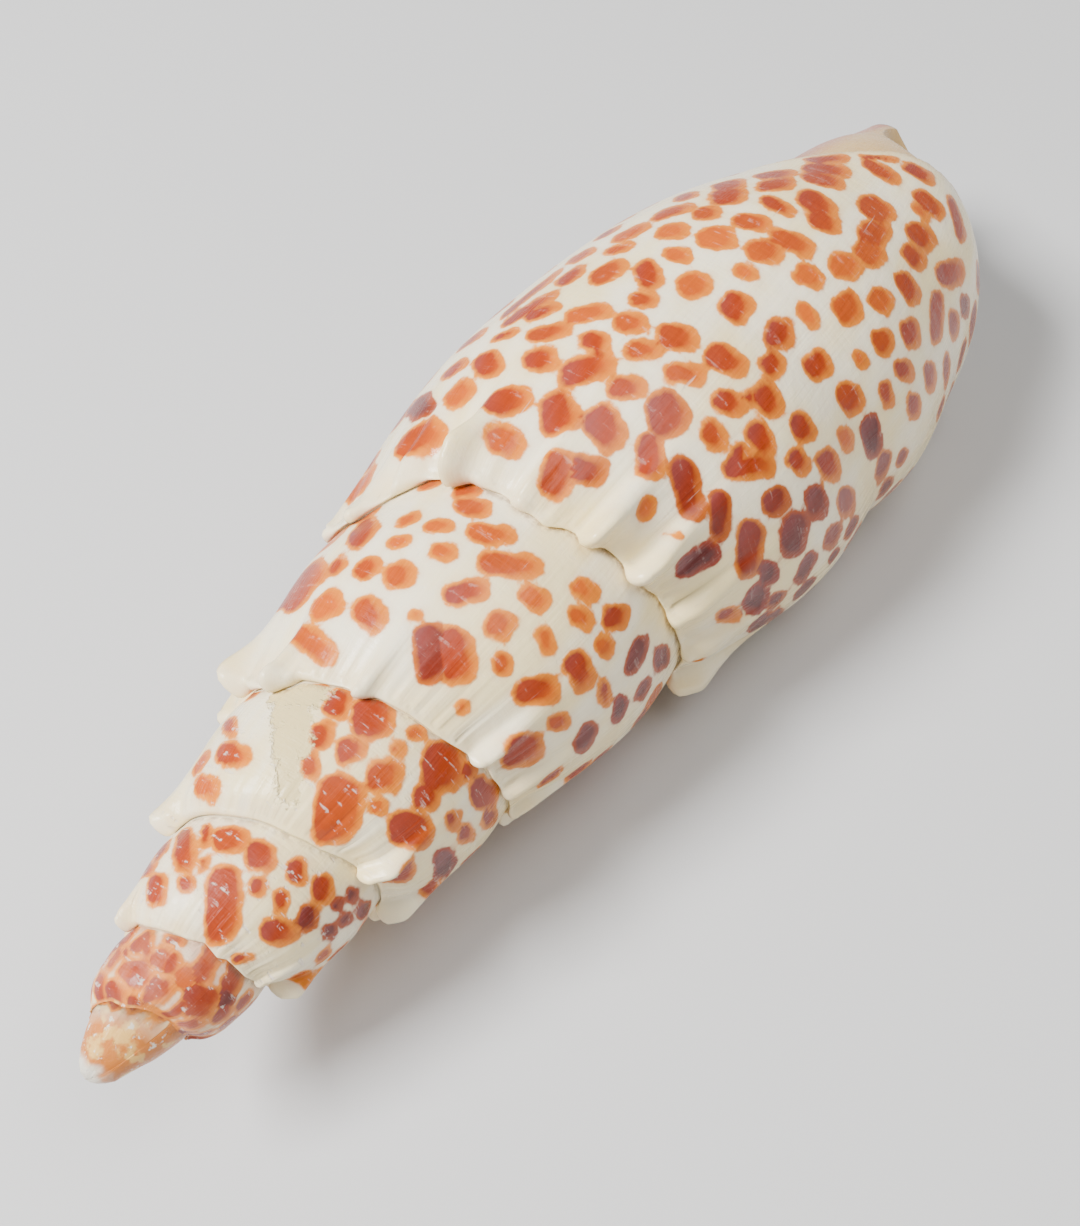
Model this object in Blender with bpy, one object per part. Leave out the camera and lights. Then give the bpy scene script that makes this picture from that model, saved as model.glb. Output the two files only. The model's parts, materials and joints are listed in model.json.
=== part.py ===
"""A papal mitre shell lying on its aperture, as one closed solid.

The shell is a spiral. Its outer face is worked out column by column along the growing edge, from the blunt
apex to the outer lip, and each column starts on the whorl before it. X runs along the shell from apex to
front end, Z is up, and the origin is on the surface that it rests on, below the middle of its box.
"""

import math

import bmesh
import bpy
import numpy as np
from mathutils import Matrix, Vector

MM = 0.001

# Length and spiral, in millimetres. A turn is counted back from the outer lip, which is at turn 0.
SHELL_LENGTH = 125.0
TURNS = 5.2
APEX_FROM_POLE = 15.6
END_FROM_POLE = APEX_FROM_POLE + SHELL_LENGTH
LIP_RIM_FROM_POLE = 73.9
RIM_GROWTH = (0.322, 0.002, -0.001)
SIZE_GROWTH = (0.234, -0.016, 0.001)

# Radii of the last whorl at a quarter, a half, three quarters and the whole of the way to the next rim.
WHORL_RADII = (18.8, 20.4, 21.2, 20.8)
# Radii from there to the front end, on the lip's side and half a turn before it.
LIP_SIDE_RADII = (22.4, 21.6, 20.2, 14.3, 2.1)
LEFT_SIDE_RADII = (18.7, 15.4, 10.0, 7.6, 3.8)
LIP_SIDE_TURN = -0.055
LEFT_SIDE_TURN = -0.555
PILLAR_SIDE_SHARE = -0.35
END_CAP_HEIGHT = 0.6
# Where the last whorl swells or narrows: turn, distance from the pole, how far each way, and how high.
SWELLINGS = (
    (-0.58, 80.0, 0.12, 11.0, -0.9),
    (-0.045, 92.0, 0.1, 13.0, 1.5),
    (-0.19, 128.0, 0.09, 9.0, 0.9),
)
SWELLINGS_END = 8.0

# Folds that crown each rim, steep on the side that grew first.
FOLDS_PER_TURN = 18
COLUMNS_PER_FOLD = 5
FOLD_REACH = 1.3
FOLD_HEIGHT = 1.0
FOLD_RISE_SHARE = 0.3
RIM_STEP = 1.4
SEAM_TUCK = 0.8
RIM_ROUND = 0.6
# Heights of the rim's underside and of its tip, as shares of its step, and the fold's share at its top.
RIM_UNDER_SHARE = 0.15
RIM_TIP_SHARE = 0.5
RIM_TOP_FOLD_SHARE = 0.6

# Rows from the rim to the next one, and how much of the fold is left at each.
WHORL_ROWS = ((0.11, 1.0), (0.3, 0.45), (0.62, 0.0))
# Rows from the last rim to the front end.
FRONT_ROWS = (0.0, 0.15, 0.3, 0.45, 0.59, 0.72, 0.83, 0.92, 1.0)
# Rings of the blunt apex, as shares of the way out to the first seam.
APEX_RINGS = (0.4, 0.75)

# Hollow of the last whorl.
WALL = 1.8
CALLUS = 0.4
HOLLOW_TURNS = 0.8
HOLLOW_COLUMNS = 19
HOLLOW_PAST_LIP = 0.02
HOLLOW_CORNER = 3.0
HOLLOW_LEAST_GAP = 0.8
HOLLOW_OUTER_ROWS = 10
HOLLOW_INNER_ROWS = 18
HOLLOW_SEARCH_STEPS = 400
COLUMELLA_FOLDS = 4
COLUMELLA_FOLD_HEIGHT = 0.8
COLUMELLA_FOLD_SPACING = 4.2
COLUMELLA_FOLDS_FROM_POLE = 100.0
COLUMELLA_FOLD_SLANT = 12.0
COLUMELLA_FOLD_SHARPNESS = 4

# Egg-shaped cuts that open the front end: turn, radius, half sizes along the shell, across it and outwards.
FRONT_CUTS = (
    ("aperture_cutter", -0.06, 9.4, (6.5, 8.0, 5.8)),
    ("notch_cutter", -0.243, 12.0, (9.5, 9.0, 10.0)),
)
CUT_SEGMENTS = 18
CUT_RINGS = 12

# How the shell lies: the lip is this many degrees past the top, and the shell rolls and tips to rest.
LIP_ANGLE = 134.5
REST_ROLL = 1.4
REST_TIP = 0.5
REST_FACET_DEPTH = 0.4

SHELL_COLOUR = (0.86, 0.78, 0.68, 1.0)
SHELL_ROUGHNESS = 0.22
SHARP_EDGE_ANGLE = 40.0


def growth(turn, rates):
    """How large something is at a turn, against its size at the lip."""
    first, second, third = rates
    return np.exp(first * turn + second * turn**2 + third * turn**3)


def rim_at(turn):
    """Distance from the spiral's pole to the rim at a turn."""
    return LIP_RIM_FROM_POLE * growth(turn, RIM_GROWTH)


def size_at(turn):
    """Scale of the whorl at a turn."""
    return growth(turn, SIZE_GROWTH)


def curve_weights(share, count):
    """Weights of evenly spaced values for a natural cubic curve through them, at each share of the way."""
    bend = np.eye(count)
    source = np.zeros((count, count))
    for k in range(1, count - 1):
        bend[k, k - 1 : k + 2] = (1, 4, 1)
        source[k, k - 1 : k + 2] = (6, -12, 6)
    second = np.linalg.solve(bend, source)
    place = np.clip(share, 0, 1) * (count - 1)
    left = np.minimum(place.astype(int), count - 2)
    ahead = (place - left)[:, None]
    behind = 1 - ahead
    exact = np.eye(count)
    curve = (behind**3 - behind) * second[left] + (ahead**3 - ahead) * second[left + 1]
    return behind * exact[left] + ahead * exact[left + 1] + curve / 6


def whorl_radius(turn, share):
    """Radius of a whorl at a share of the way from its rim to the next one."""
    turn, share = np.broadcast_arrays(np.asarray(turn, float), share)
    size = size_at(turn)
    rim = WHORL_RADII[-1] * size_at(turn - 1) / size + RIM_STEP
    weights = curve_weights(share.ravel(), 1 + len(WHORL_RADII))
    values = np.column_stack([rim.ravel(), *(np.full(rim.size, r) for r in WHORL_RADII)])
    return size * (weights * values).sum(axis=1).reshape(size.shape)


def front_radius(turn, share):
    """Radius at a share of the way from the next rim to the front end."""
    turn, share = np.broadcast_arrays(np.asarray(turn, float), share)
    side = (turn - LEFT_SIDE_TURN) / (LIP_SIDE_TURN - LEFT_SIDE_TURN)
    side = np.where(side < 0, PILLAR_SIDE_SHARE * np.tanh(side / PILLAR_SIDE_SHARE), side)
    weights = curve_weights(share.ravel(), 1 + len(LIP_SIDE_RADII))
    lip_side = (weights @ (WHORL_RADII[-1], *LIP_SIDE_RADII)).reshape(side.shape)
    left_side = (weights @ (WHORL_RADII[-1], *LEFT_SIDE_RADII)).reshape(side.shape)
    return size_at(turn) * (lip_side * side + left_side * (1 - side))


def base_radius(turn, along):
    """Radius of what the whorl at a turn grows over: the front of the whorl before it."""
    rim = rim_at(turn)
    share = np.clip((along - rim) / (END_FROM_POLE - rim), 0, 1)
    return front_radius(turn - 1, share)


def swelling(turn, along):
    """How far the last whorl's face stands out from the even spiral."""
    height = 0.0
    for middle, distance, turn_width, width, most in SWELLINGS:
        off = ((turn - middle) / turn_width) ** 2 + ((along - distance) / width) ** 2
        height = height + most * np.exp(-off)
    return height * np.clip((END_FROM_POLE - along) / SWELLINGS_END, 0, 1)


def face_radius(turn, along):
    """Radius of the last whorl's outer face, folds left out, at a distance from the pole."""
    rim, next_rim = rim_at(turn), rim_at(turn + 1)
    on_whorl = whorl_radius(turn, np.clip((along - rim) / (next_rim - rim), 0, 1))
    on_front = base_radius(turn + 1, along)
    return np.where(along < next_rim, on_whorl, on_front) + swelling(turn, along)


def fold_wave(column):
    """How far up its fold a column is, from 0 in the dip to 1 on the crest. One side is steeper."""
    phase = (column / COLUMNS_PER_FOLD) % 1.0
    rising = phase / (2 * FOLD_RISE_SHARE)
    falling = 0.5 + (phase - FOLD_RISE_SHARE) / (2 * (1 - FOLD_RISE_SHARE))
    return np.sin(math.pi * np.where(phase < FOLD_RISE_SHARE, rising, falling)) ** 2


def point(turn, along, radius):
    """A point at a turn, a distance from the pole and a radius, before the shell is laid down."""
    angle = math.radians(LIP_ANGLE) + 2 * math.pi * turn
    return Vector((along - APEX_FROM_POLE, -radius * math.sin(angle), radius * math.cos(angle))) * MM


def whorl_column(turn, wave):
    """(distance from the pole, radius) of each row of a column, from the seam to the last row."""
    rim, span = rim_at(turn), rim_at(turn + 1) - rim_at(turn)
    size = size_at(turn)
    seam = WHORL_RADII[-1] * size_at(turn - 1)
    step = RIM_STEP * size
    tip = rim - FOLD_REACH * size * wave
    lift = FOLD_HEIGHT * size * wave
    rows = [
        (rim + SEAM_TUCK * size, seam),
        (tip + RIM_ROUND * size, seam + RIM_UNDER_SHARE * step),
        (tip, seam + RIM_TIP_SHARE * step),
        (tip + RIM_ROUND * size, seam + step + RIM_TOP_FOLD_SHARE * lift),
    ]
    for share, left in WHORL_ROWS:
        along = rim + share * span
        smooth = float(whorl_radius(turn, share)) + float(swelling(turn, along))
        rows.append((along, smooth + left * lift))
    return rows


def front_column(turn):
    """(distance from the pole, radius) of each row from the last rim's seam to the front end."""
    start = rim_at(turn + 1) + SEAM_TUCK * size_at(turn + 1)
    rows = []
    for share in FRONT_ROWS:
        along = start + share * (END_FROM_POLE - start)
        rows.append((along, float(base_radius(turn + 1, along) + swelling(turn, along))))
    return rows


def add_mesh(name, points, faces):
    """A new object of these points and faces, with its normals facing out."""
    mesh = bpy.data.meshes.new(name)
    mesh.from_pydata(points, [], faces)
    work = bmesh.new()
    work.from_mesh(mesh)
    bmesh.ops.recalc_face_normals(work, faces=work.faces)
    work.to_mesh(mesh)
    work.free()
    made = bpy.data.objects.new(name, mesh)
    bpy.context.scene.collection.objects.link(made)
    return made


def outer_surface():
    """Points and faces of the closed shell before it is hollowed."""
    per_turn = FOLDS_PER_TURN * COLUMNS_PER_FOLD
    last = round(TURNS * per_turn)
    points, faces, whorl, front, apex = [], [], [], {}, []

    def add(turn, rows):
        first = len(points)
        points.extend(point(turn, along, radius) for along, radius in rows)
        return list(range(first, len(points)))

    for column in range(last + 1):
        turn = column / per_turn - TURNS
        whorl.append(add(turn, whorl_column(turn, float(fold_wave(column)))))
    for column in range(last - per_turn, last + 1):
        turn = column / per_turn - TURNS
        rows = front_column(turn)
        if column == last - per_turn:
            front[column] = [whorl[last][0], *add(turn, rows[1:])]
        else:
            front[column] = add(turn, rows)
    pole = add(0, [(END_FROM_POLE + END_CAP_HEIGHT, 0)])[0]

    for column in range(last):
        here, after = list(whorl[column]), list(whorl[column + 1])
        if column < last - per_turn:
            here.append(whorl[column + per_turn][0])
            after.append(whorl[column + 1 + per_turn][0])
        else:
            here.extend(front[column])
            after.extend(front[column + 1])
            faces.append((here[-1], after[-1], pole))
        for row in range(len(here) - 1):
            faces.append((here[row], after[row], after[row + 1], here[row + 1]))
    lip, base = front[last], front[last - per_turn]
    edge = [*whorl[last][1:], lip[0]]
    faces.extend((base[0], edge[row], edge[row + 1]) for row in range(len(edge) - 1))
    faces.extend((base[row], lip[row], lip[row + 1], base[row + 1]) for row in range(len(lip) - 1))
    faces.append((base[-1], lip[-1], pole))

    tip = add(0, [(APEX_FROM_POLE, 0)])[0]
    for column in range(per_turn + 1):
        turn = column / per_turn - TURNS
        along, radius = whorl_column(turn, 0)[0]
        dome = [(APEX_FROM_POLE + (along - APEX_FROM_POLE) * f**2, radius * f) for f in APEX_RINGS]
        apex.append([*add(turn, dome), whorl[column][0]])
    for column in range(per_turn):
        here, after = apex[column], apex[column + 1]
        faces.append((tip, after[0], here[0]))
        for row in range(len(here) - 1):
            faces.append((here[row], after[row], after[row + 1], here[row + 1]))
    faces.append((tip, *apex[0][:-1], *whorl[0], *reversed(apex[per_turn])))
    return points, faces


def columella_lift(turn, along):
    """Height of the slanting folds on the columella."""
    place = along - COLUMELLA_FOLDS_FROM_POLE + COLUMELLA_FOLD_SLANT * turn
    fold = place / COLUMELLA_FOLD_SPACING
    crest = np.cos(math.pi * (fold - np.round(fold))) ** COLUMELLA_FOLD_SHARPNESS
    inside = (fold > -0.5) & (fold < COLUMELLA_FOLDS - 0.5)
    return COLUMELLA_FOLD_HEIGHT * crest * inside


def hollow_column(turn):
    """The hollow's outline at a turn: out along the whorl's inner face, and back over what it grew on."""
    start = rim_at(turn) + HOLLOW_CORNER * size_at(turn)
    fine = np.linspace(start, END_FROM_POLE, HOLLOW_SEARCH_STEPS)
    gap = face_radius(turn, fine) - WALL - base_radius(turn, fine) - CALLUS
    open_here = fine[gap > HOLLOW_LEAST_GAP]
    low, high = open_here.min(), open_here.max()
    out = np.linspace(low, high, HOLLOW_OUTER_ROWS)
    back = np.linspace(high, low, HOLLOW_INNER_ROWS)
    outer = face_radius(turn, out) - WALL
    inner = base_radius(turn, back) + CALLUS
    room = np.clip(face_radius(turn, back) - WALL - inner - HOLLOW_LEAST_GAP, 0, None)
    inner = inner + np.minimum(columella_lift(turn, back), room)
    return [(float(x), float(r)) for x, r in (*zip(out, outer), *zip(back, inner))]


def hollow_surface():
    """Points and faces of the solid that is cut out of the last whorl, from just past the lip inwards."""
    points, faces = [], []
    turns = np.linspace(-HOLLOW_TURNS, HOLLOW_PAST_LIP, HOLLOW_COLUMNS)
    size = HOLLOW_OUTER_ROWS + HOLLOW_INNER_ROWS
    for turn in turns:
        points.extend(point(turn, along, radius) for along, radius in hollow_column(turn))
    for column in range(len(turns) - 1):
        first = column * size
        for row in range(size):
            after = (row + 1) % size
            faces.append((first + row, first + after, first + size + after, first + size + row))
    faces.append(tuple(range(size)))
    faces.append(tuple(reversed(range(len(points) - size, len(points)))))
    return points, faces


def front_cutter(name, turn, radius, half_sizes):
    """An egg-shaped solid centred on the plane of the front end."""
    work = bmesh.new()
    bmesh.ops.create_uvsphere(work, u_segments=CUT_SEGMENTS, v_segments=CUT_RINGS, radius=1.0)
    angle = math.radians(LIP_ANGLE) + 2 * math.pi * turn
    scale = Matrix.Diagonal(Vector(half_sizes) * MM).to_4x4()
    centre = Matrix.Translation(point(turn, END_FROM_POLE, radius))
    work.transform(centre @ Matrix.Rotation(angle, 4, "X") @ scale)
    mesh = bpy.data.meshes.new(name)
    work.to_mesh(mesh)
    work.free()
    made = bpy.data.objects.new(name, mesh)
    bpy.context.scene.collection.objects.link(made)
    return made


def rest_cutter():
    """A slab below the surface that the shell rests on, which leaves its small flat spots."""
    work = bmesh.new()
    bmesh.ops.create_cube(work, size=2 * SHELL_LENGTH * MM)
    mesh = bpy.data.meshes.new("rest_cutter")
    work.to_mesh(mesh)
    work.free()
    made = bpy.data.objects.new("rest_cutter", mesh)
    bpy.context.scene.collection.objects.link(made)
    made.location = (0, 0, -SHELL_LENGTH * MM)
    return made


def cut(solid, cutter):
    """Takes the cutter out of the solid, and keeps the cutter as a hidden guide."""
    cutter.hide_render = True
    cutter.display_type = "WIRE"
    boolean = solid.modifiers.new(cutter.name, "BOOLEAN")
    boolean.operation = "DIFFERENCE"
    boolean.object = cutter


def lay_down(pieces):
    """Turns the pieces to how the shell rests, with its lowest points just below the ground."""
    turn = Matrix.Rotation(math.radians(REST_TIP), 4, "Y") @ Matrix.Rotation(math.radians(REST_ROLL), 4, "X")
    for piece in pieces:
        piece.data.transform(turn)
    corners = np.array([vertex.co for vertex in pieces[0].data.vertices])
    middle = (corners.min(axis=0) + corners.max(axis=0)) / 2
    lowest = corners[:, 2].min() + REST_FACET_DEPTH * MM
    for piece in pieces:
        piece.data.transform(Matrix.Translation((-middle[0], -middle[1], -lowest)))


def shell_material():
    material = bpy.data.materials.new("porcelain_shell")
    material.use_nodes = True
    shader = material.node_tree.nodes["Principled BSDF"]
    shader.inputs["Base Color"].default_value = SHELL_COLOUR
    shader.inputs["Roughness"].default_value = SHELL_ROUGHNESS
    shader.inputs["Metallic"].default_value = 0.0
    return material


def main():
    for left in list(bpy.data.objects):
        bpy.data.objects.remove(left)
    shell = add_mesh("shell", *outer_surface())
    hollow = add_mesh("hollow_cutter", *hollow_surface())
    front_cutters = [front_cutter(*values) for values in FRONT_CUTS]
    lay_down([shell, hollow, *front_cutters])
    for cutter in (hollow, *front_cutters, rest_cutter()):
        cut(shell, cutter)
    shell.data.materials.append(shell_material())
    shell.data.shade_smooth()
    shell.data.set_sharp_from_angle(angle=math.radians(SHARP_EDGE_ANGLE))


main()
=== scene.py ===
"""Dresses the mitre shell: the spiral of the CAD solid in fine detail, with folds, spots and gloss."""

import json
import math

import bmesh
import bpy
import numpy as np
from mathutils import Euler, Matrix, Vector, kdtree

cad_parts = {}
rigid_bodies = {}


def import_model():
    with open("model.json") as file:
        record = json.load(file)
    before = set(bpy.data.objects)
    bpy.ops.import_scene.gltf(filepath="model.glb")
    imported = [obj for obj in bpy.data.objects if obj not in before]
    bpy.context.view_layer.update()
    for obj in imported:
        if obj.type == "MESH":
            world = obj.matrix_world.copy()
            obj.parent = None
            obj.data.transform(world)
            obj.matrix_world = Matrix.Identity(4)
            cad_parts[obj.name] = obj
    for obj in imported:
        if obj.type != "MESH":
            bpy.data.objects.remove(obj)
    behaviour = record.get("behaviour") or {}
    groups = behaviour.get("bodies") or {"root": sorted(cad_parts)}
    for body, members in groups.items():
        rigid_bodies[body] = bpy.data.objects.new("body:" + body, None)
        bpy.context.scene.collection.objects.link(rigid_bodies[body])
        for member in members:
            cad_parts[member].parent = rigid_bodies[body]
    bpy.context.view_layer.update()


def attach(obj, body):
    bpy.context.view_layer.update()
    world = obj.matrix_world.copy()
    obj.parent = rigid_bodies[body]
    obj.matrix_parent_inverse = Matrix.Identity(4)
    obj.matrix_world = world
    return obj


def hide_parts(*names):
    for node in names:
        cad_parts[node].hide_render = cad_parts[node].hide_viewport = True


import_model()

MM = 0.001
TAU = 2 * math.pi

# The spiral, in millimetres, as in the CAD. A turn is counted back from the outer lip, which is at turn 0.
SHELL_LENGTH = 125.0
TURNS = 5.2
APEX_FROM_POLE = 15.6
LIP_RIM_FROM_POLE = 73.9
END_FROM_POLE = APEX_FROM_POLE + SHELL_LENGTH
END_CAP_HEIGHT = 0.6
RIM_GROWTH = (0.322, 0.002, -0.001)
SIZE_GROWTH = (0.234, -0.016, 0.001)
WHORL_RADII = (18.8, 20.4, 21.2, 20.8)
LIP_SIDE_RADII = (22.4, 21.6, 20.2, 14.3, 2.1)
LEFT_SIDE_RADII = (18.7, 15.4, 10.0, 7.6, 3.8)
LIP_SIDE_TURN = -0.055
LEFT_SIDE_TURN = -0.555
PILLAR_SIDE_SHARE = -0.35
RIM_STEP = 1.4
SEAM_TUCK = 0.8
LIP_ANGLE = 134.5
# Where the last whorl swells or narrows: turn, distance from the pole, how wide each way, and how high.
SWELLINGS = (
    (-0.58, 80.0, 0.12, 11.0, -0.9),
    (-0.04, 94.0, 0.12, 20.0, 1.1),
    (-0.19, 128.0, 0.09, 9.0, 0.9),
)
SWELLINGS_END = 8.0

# How the shell lies in the part's frame: rolled, tipped and moved from where its apex is the origin.
REST_ROLL = 1.4
REST_TIP = 0.5
APEX_PLACE = (-62.8, 2.12, 16.9)
GROUND_GAP = 0.02

# Margin of the front end, seen from behind: turn and distance from the pole.
MARGIN = np.array((
    (-0.60, 114.0), (-0.50, 115.0), (-0.43, 117.0), (-0.39, 119.8), (-0.344, 123.4), (-0.30, 127.4),
    (-0.263, 129.6), (-0.20, 131.4), (-0.15, 140.6),
))
MARGIN_STEP = 0.9
MARGIN_EASE = 0.6
MARGIN_END = 6.0

# The camera as the photograph was taken, in millimetres and degrees, for a 1080 x 1226 image.
PHOTO_SIZE = (1080, 1226)
PHOTO_FOCAL_PIXELS = 1550.0
CAMERA_PLACE = (-72.1, -49.3, 127.1)
CAMERA_TURN = (35.11, 2.0, -55.16)
SENSOR_SIDE = 36.0

# Fineness of the mesh.
PER_TURN = 270
FINE_FROM_TURN = -2.0
FINE_ROWS = 48
FRONT_ROWS = 100
RIM_ARC = (-90, -50, -20, 10, 40, 90)
ROW_EASE = 1.2
APEX_RINGS = (0.2, 0.4, 0.6, 0.8)
# The first whorl leaves the apex over this many turns, and its rims grow to full height over as many more.
START_BLEND = 0.7
EARLY_STEP = (0.15, 1.6)
# Where the material's apex and front margin begin, and how close two turns or places are the same.
APEX_TO_TURN = -4.9
APEX_BLEND = 0.15
MARGIN_FROM_TURN = -0.75
SAME_TURN = 0.001
SAME_PLACE = 0.02

# The edge of each rim in the photograph, read whorl by whorl from the lip back: pixels of the tips of
# its fingers and of the dips between them.
RIM_TIPS = {
    0: (
        (333, 530), (363, 503), (397, 487), (443, 486), (514, 505), (583, 547), (630, 583), (674, 624),
        (686, 660), (669, 688),
    ),
    1: ((228, 704), (265, 692), (353, 697), (474, 766), (508, 796), (526, 812)),
    2: ((158, 841), (168, 820), (358, 881), (391, 911)),
    3: ((120, 936), (257, 987), (275, 1000)),
    4: ((97, 1000), (202, 1042)),
}
RIM_DIPS = {
    0: (
        (350, 515), (384, 493), (424, 475), (461, 475), (478, 484), (500, 489), (546, 523), (567, 526),
        (605, 545), (620, 556), (650, 590), (662, 597), (682, 635),
    ),
    1: (
        (248, 688), (257, 681), (285, 684), (297, 677), (321, 680), (343, 684), (366, 694), (378, 697),
        (391, 704), (411, 714), (440, 735), (455, 745), (487, 765), (497, 780),
    ),
    2: (
        (203, 813), (233, 815), (257, 819), (272, 824), (290, 833), (307, 840), (323, 850), (348, 860),
        (378, 882),
    ),
    3: (
        (130, 928), (147, 927), (170, 932), (187, 939), (205, 943), (218, 958), (228, 960), (247, 978),
        (270, 987), (290, 987),
    ),
    4: ((110, 1000), (123, 1007), (138, 1008), (153, 1012), (170, 1022), (180, 1033), (190, 1038)),
}
# Turns at which the photograph shows a rim, and how high over the whorl before it the rim's edge is seen.
RIM_SEEN_TURNS = (-0.64, 0.02)
RIM_SEEN_STEP = 0.7
RIM_OFF_LEAST, RIM_OFF_MOST = -4.2, 3.6
RIM_TRIALS = (900, 100)
# Fingers of the rims, in millimetres at the lip: their least and greatest length, and their half width.
FINGER_LEAST, FINGER_MOST = 0.5, 2.7
FINGER_WIDTH = 1.2
FINGER_SQUARE = 3.0
# A finger of this length is a full one. It lifts the rim, and so does the fold beside it, by these shares.
FINGER_NORM = 1.6
FINGER_LIFT = 2.7
FINGER_SHARE, FOLD_SHARE = 0.75, 0.25
TIP_LIFT_SHARE = 0.8
# Folds between the fingers: depth, width of the steep side against the other, length, and strength.
SCOOP_DEPTH = 1.35
STEEP_SIDE = 0.6
FOLD_LENGTH = 5.5
FOLD_FADE = 1.6
FOLD_STRENGTHS = (0.5, 1.1)
FOLD_REACH_TURNS = 0.25
LAST_FOLD_TURNS = 0.06
# The rim's edge: how far it rounds off, on its own and with a finger, and heights over the whorl before it.
RIM_ROUND = 0.75
ROUND_SHARES = (0.6, 0.5)
RIM_UNDER_SHARE = 0.12
RIM_LEAST = 0.35
RIM_BLEND = 1.2
PLEAT_HEIGHT = 0.09
PLEAT_RATES = (61.0, 97.0, 143.0)
# Seeded folds where the photograph doesn't show the rim: steps in shares of a fold, lengths of the fingers,
# depths of the dips, and the gaps in turns that they keep from the seen ones.
SEED = 11
HIDDEN_FOLDS_PER_TURN = 17
HIDDEN_STEPS = (0.75, 1.3)
HIDDEN_FINGERS = (0.7, 1.7)
HIDDEN_DIPS = (0.1, 0.5)
APEX_STEPS = (0.8, 1.3)
APEX_FINGERS = (0.3, 0.8)
APEX_DIP = 0.2
GAP_AFTER_SEEN, GAP_BEFORE_SEEN = 0.05, 0.03
SEEN_WITHIN = 0.4
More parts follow.
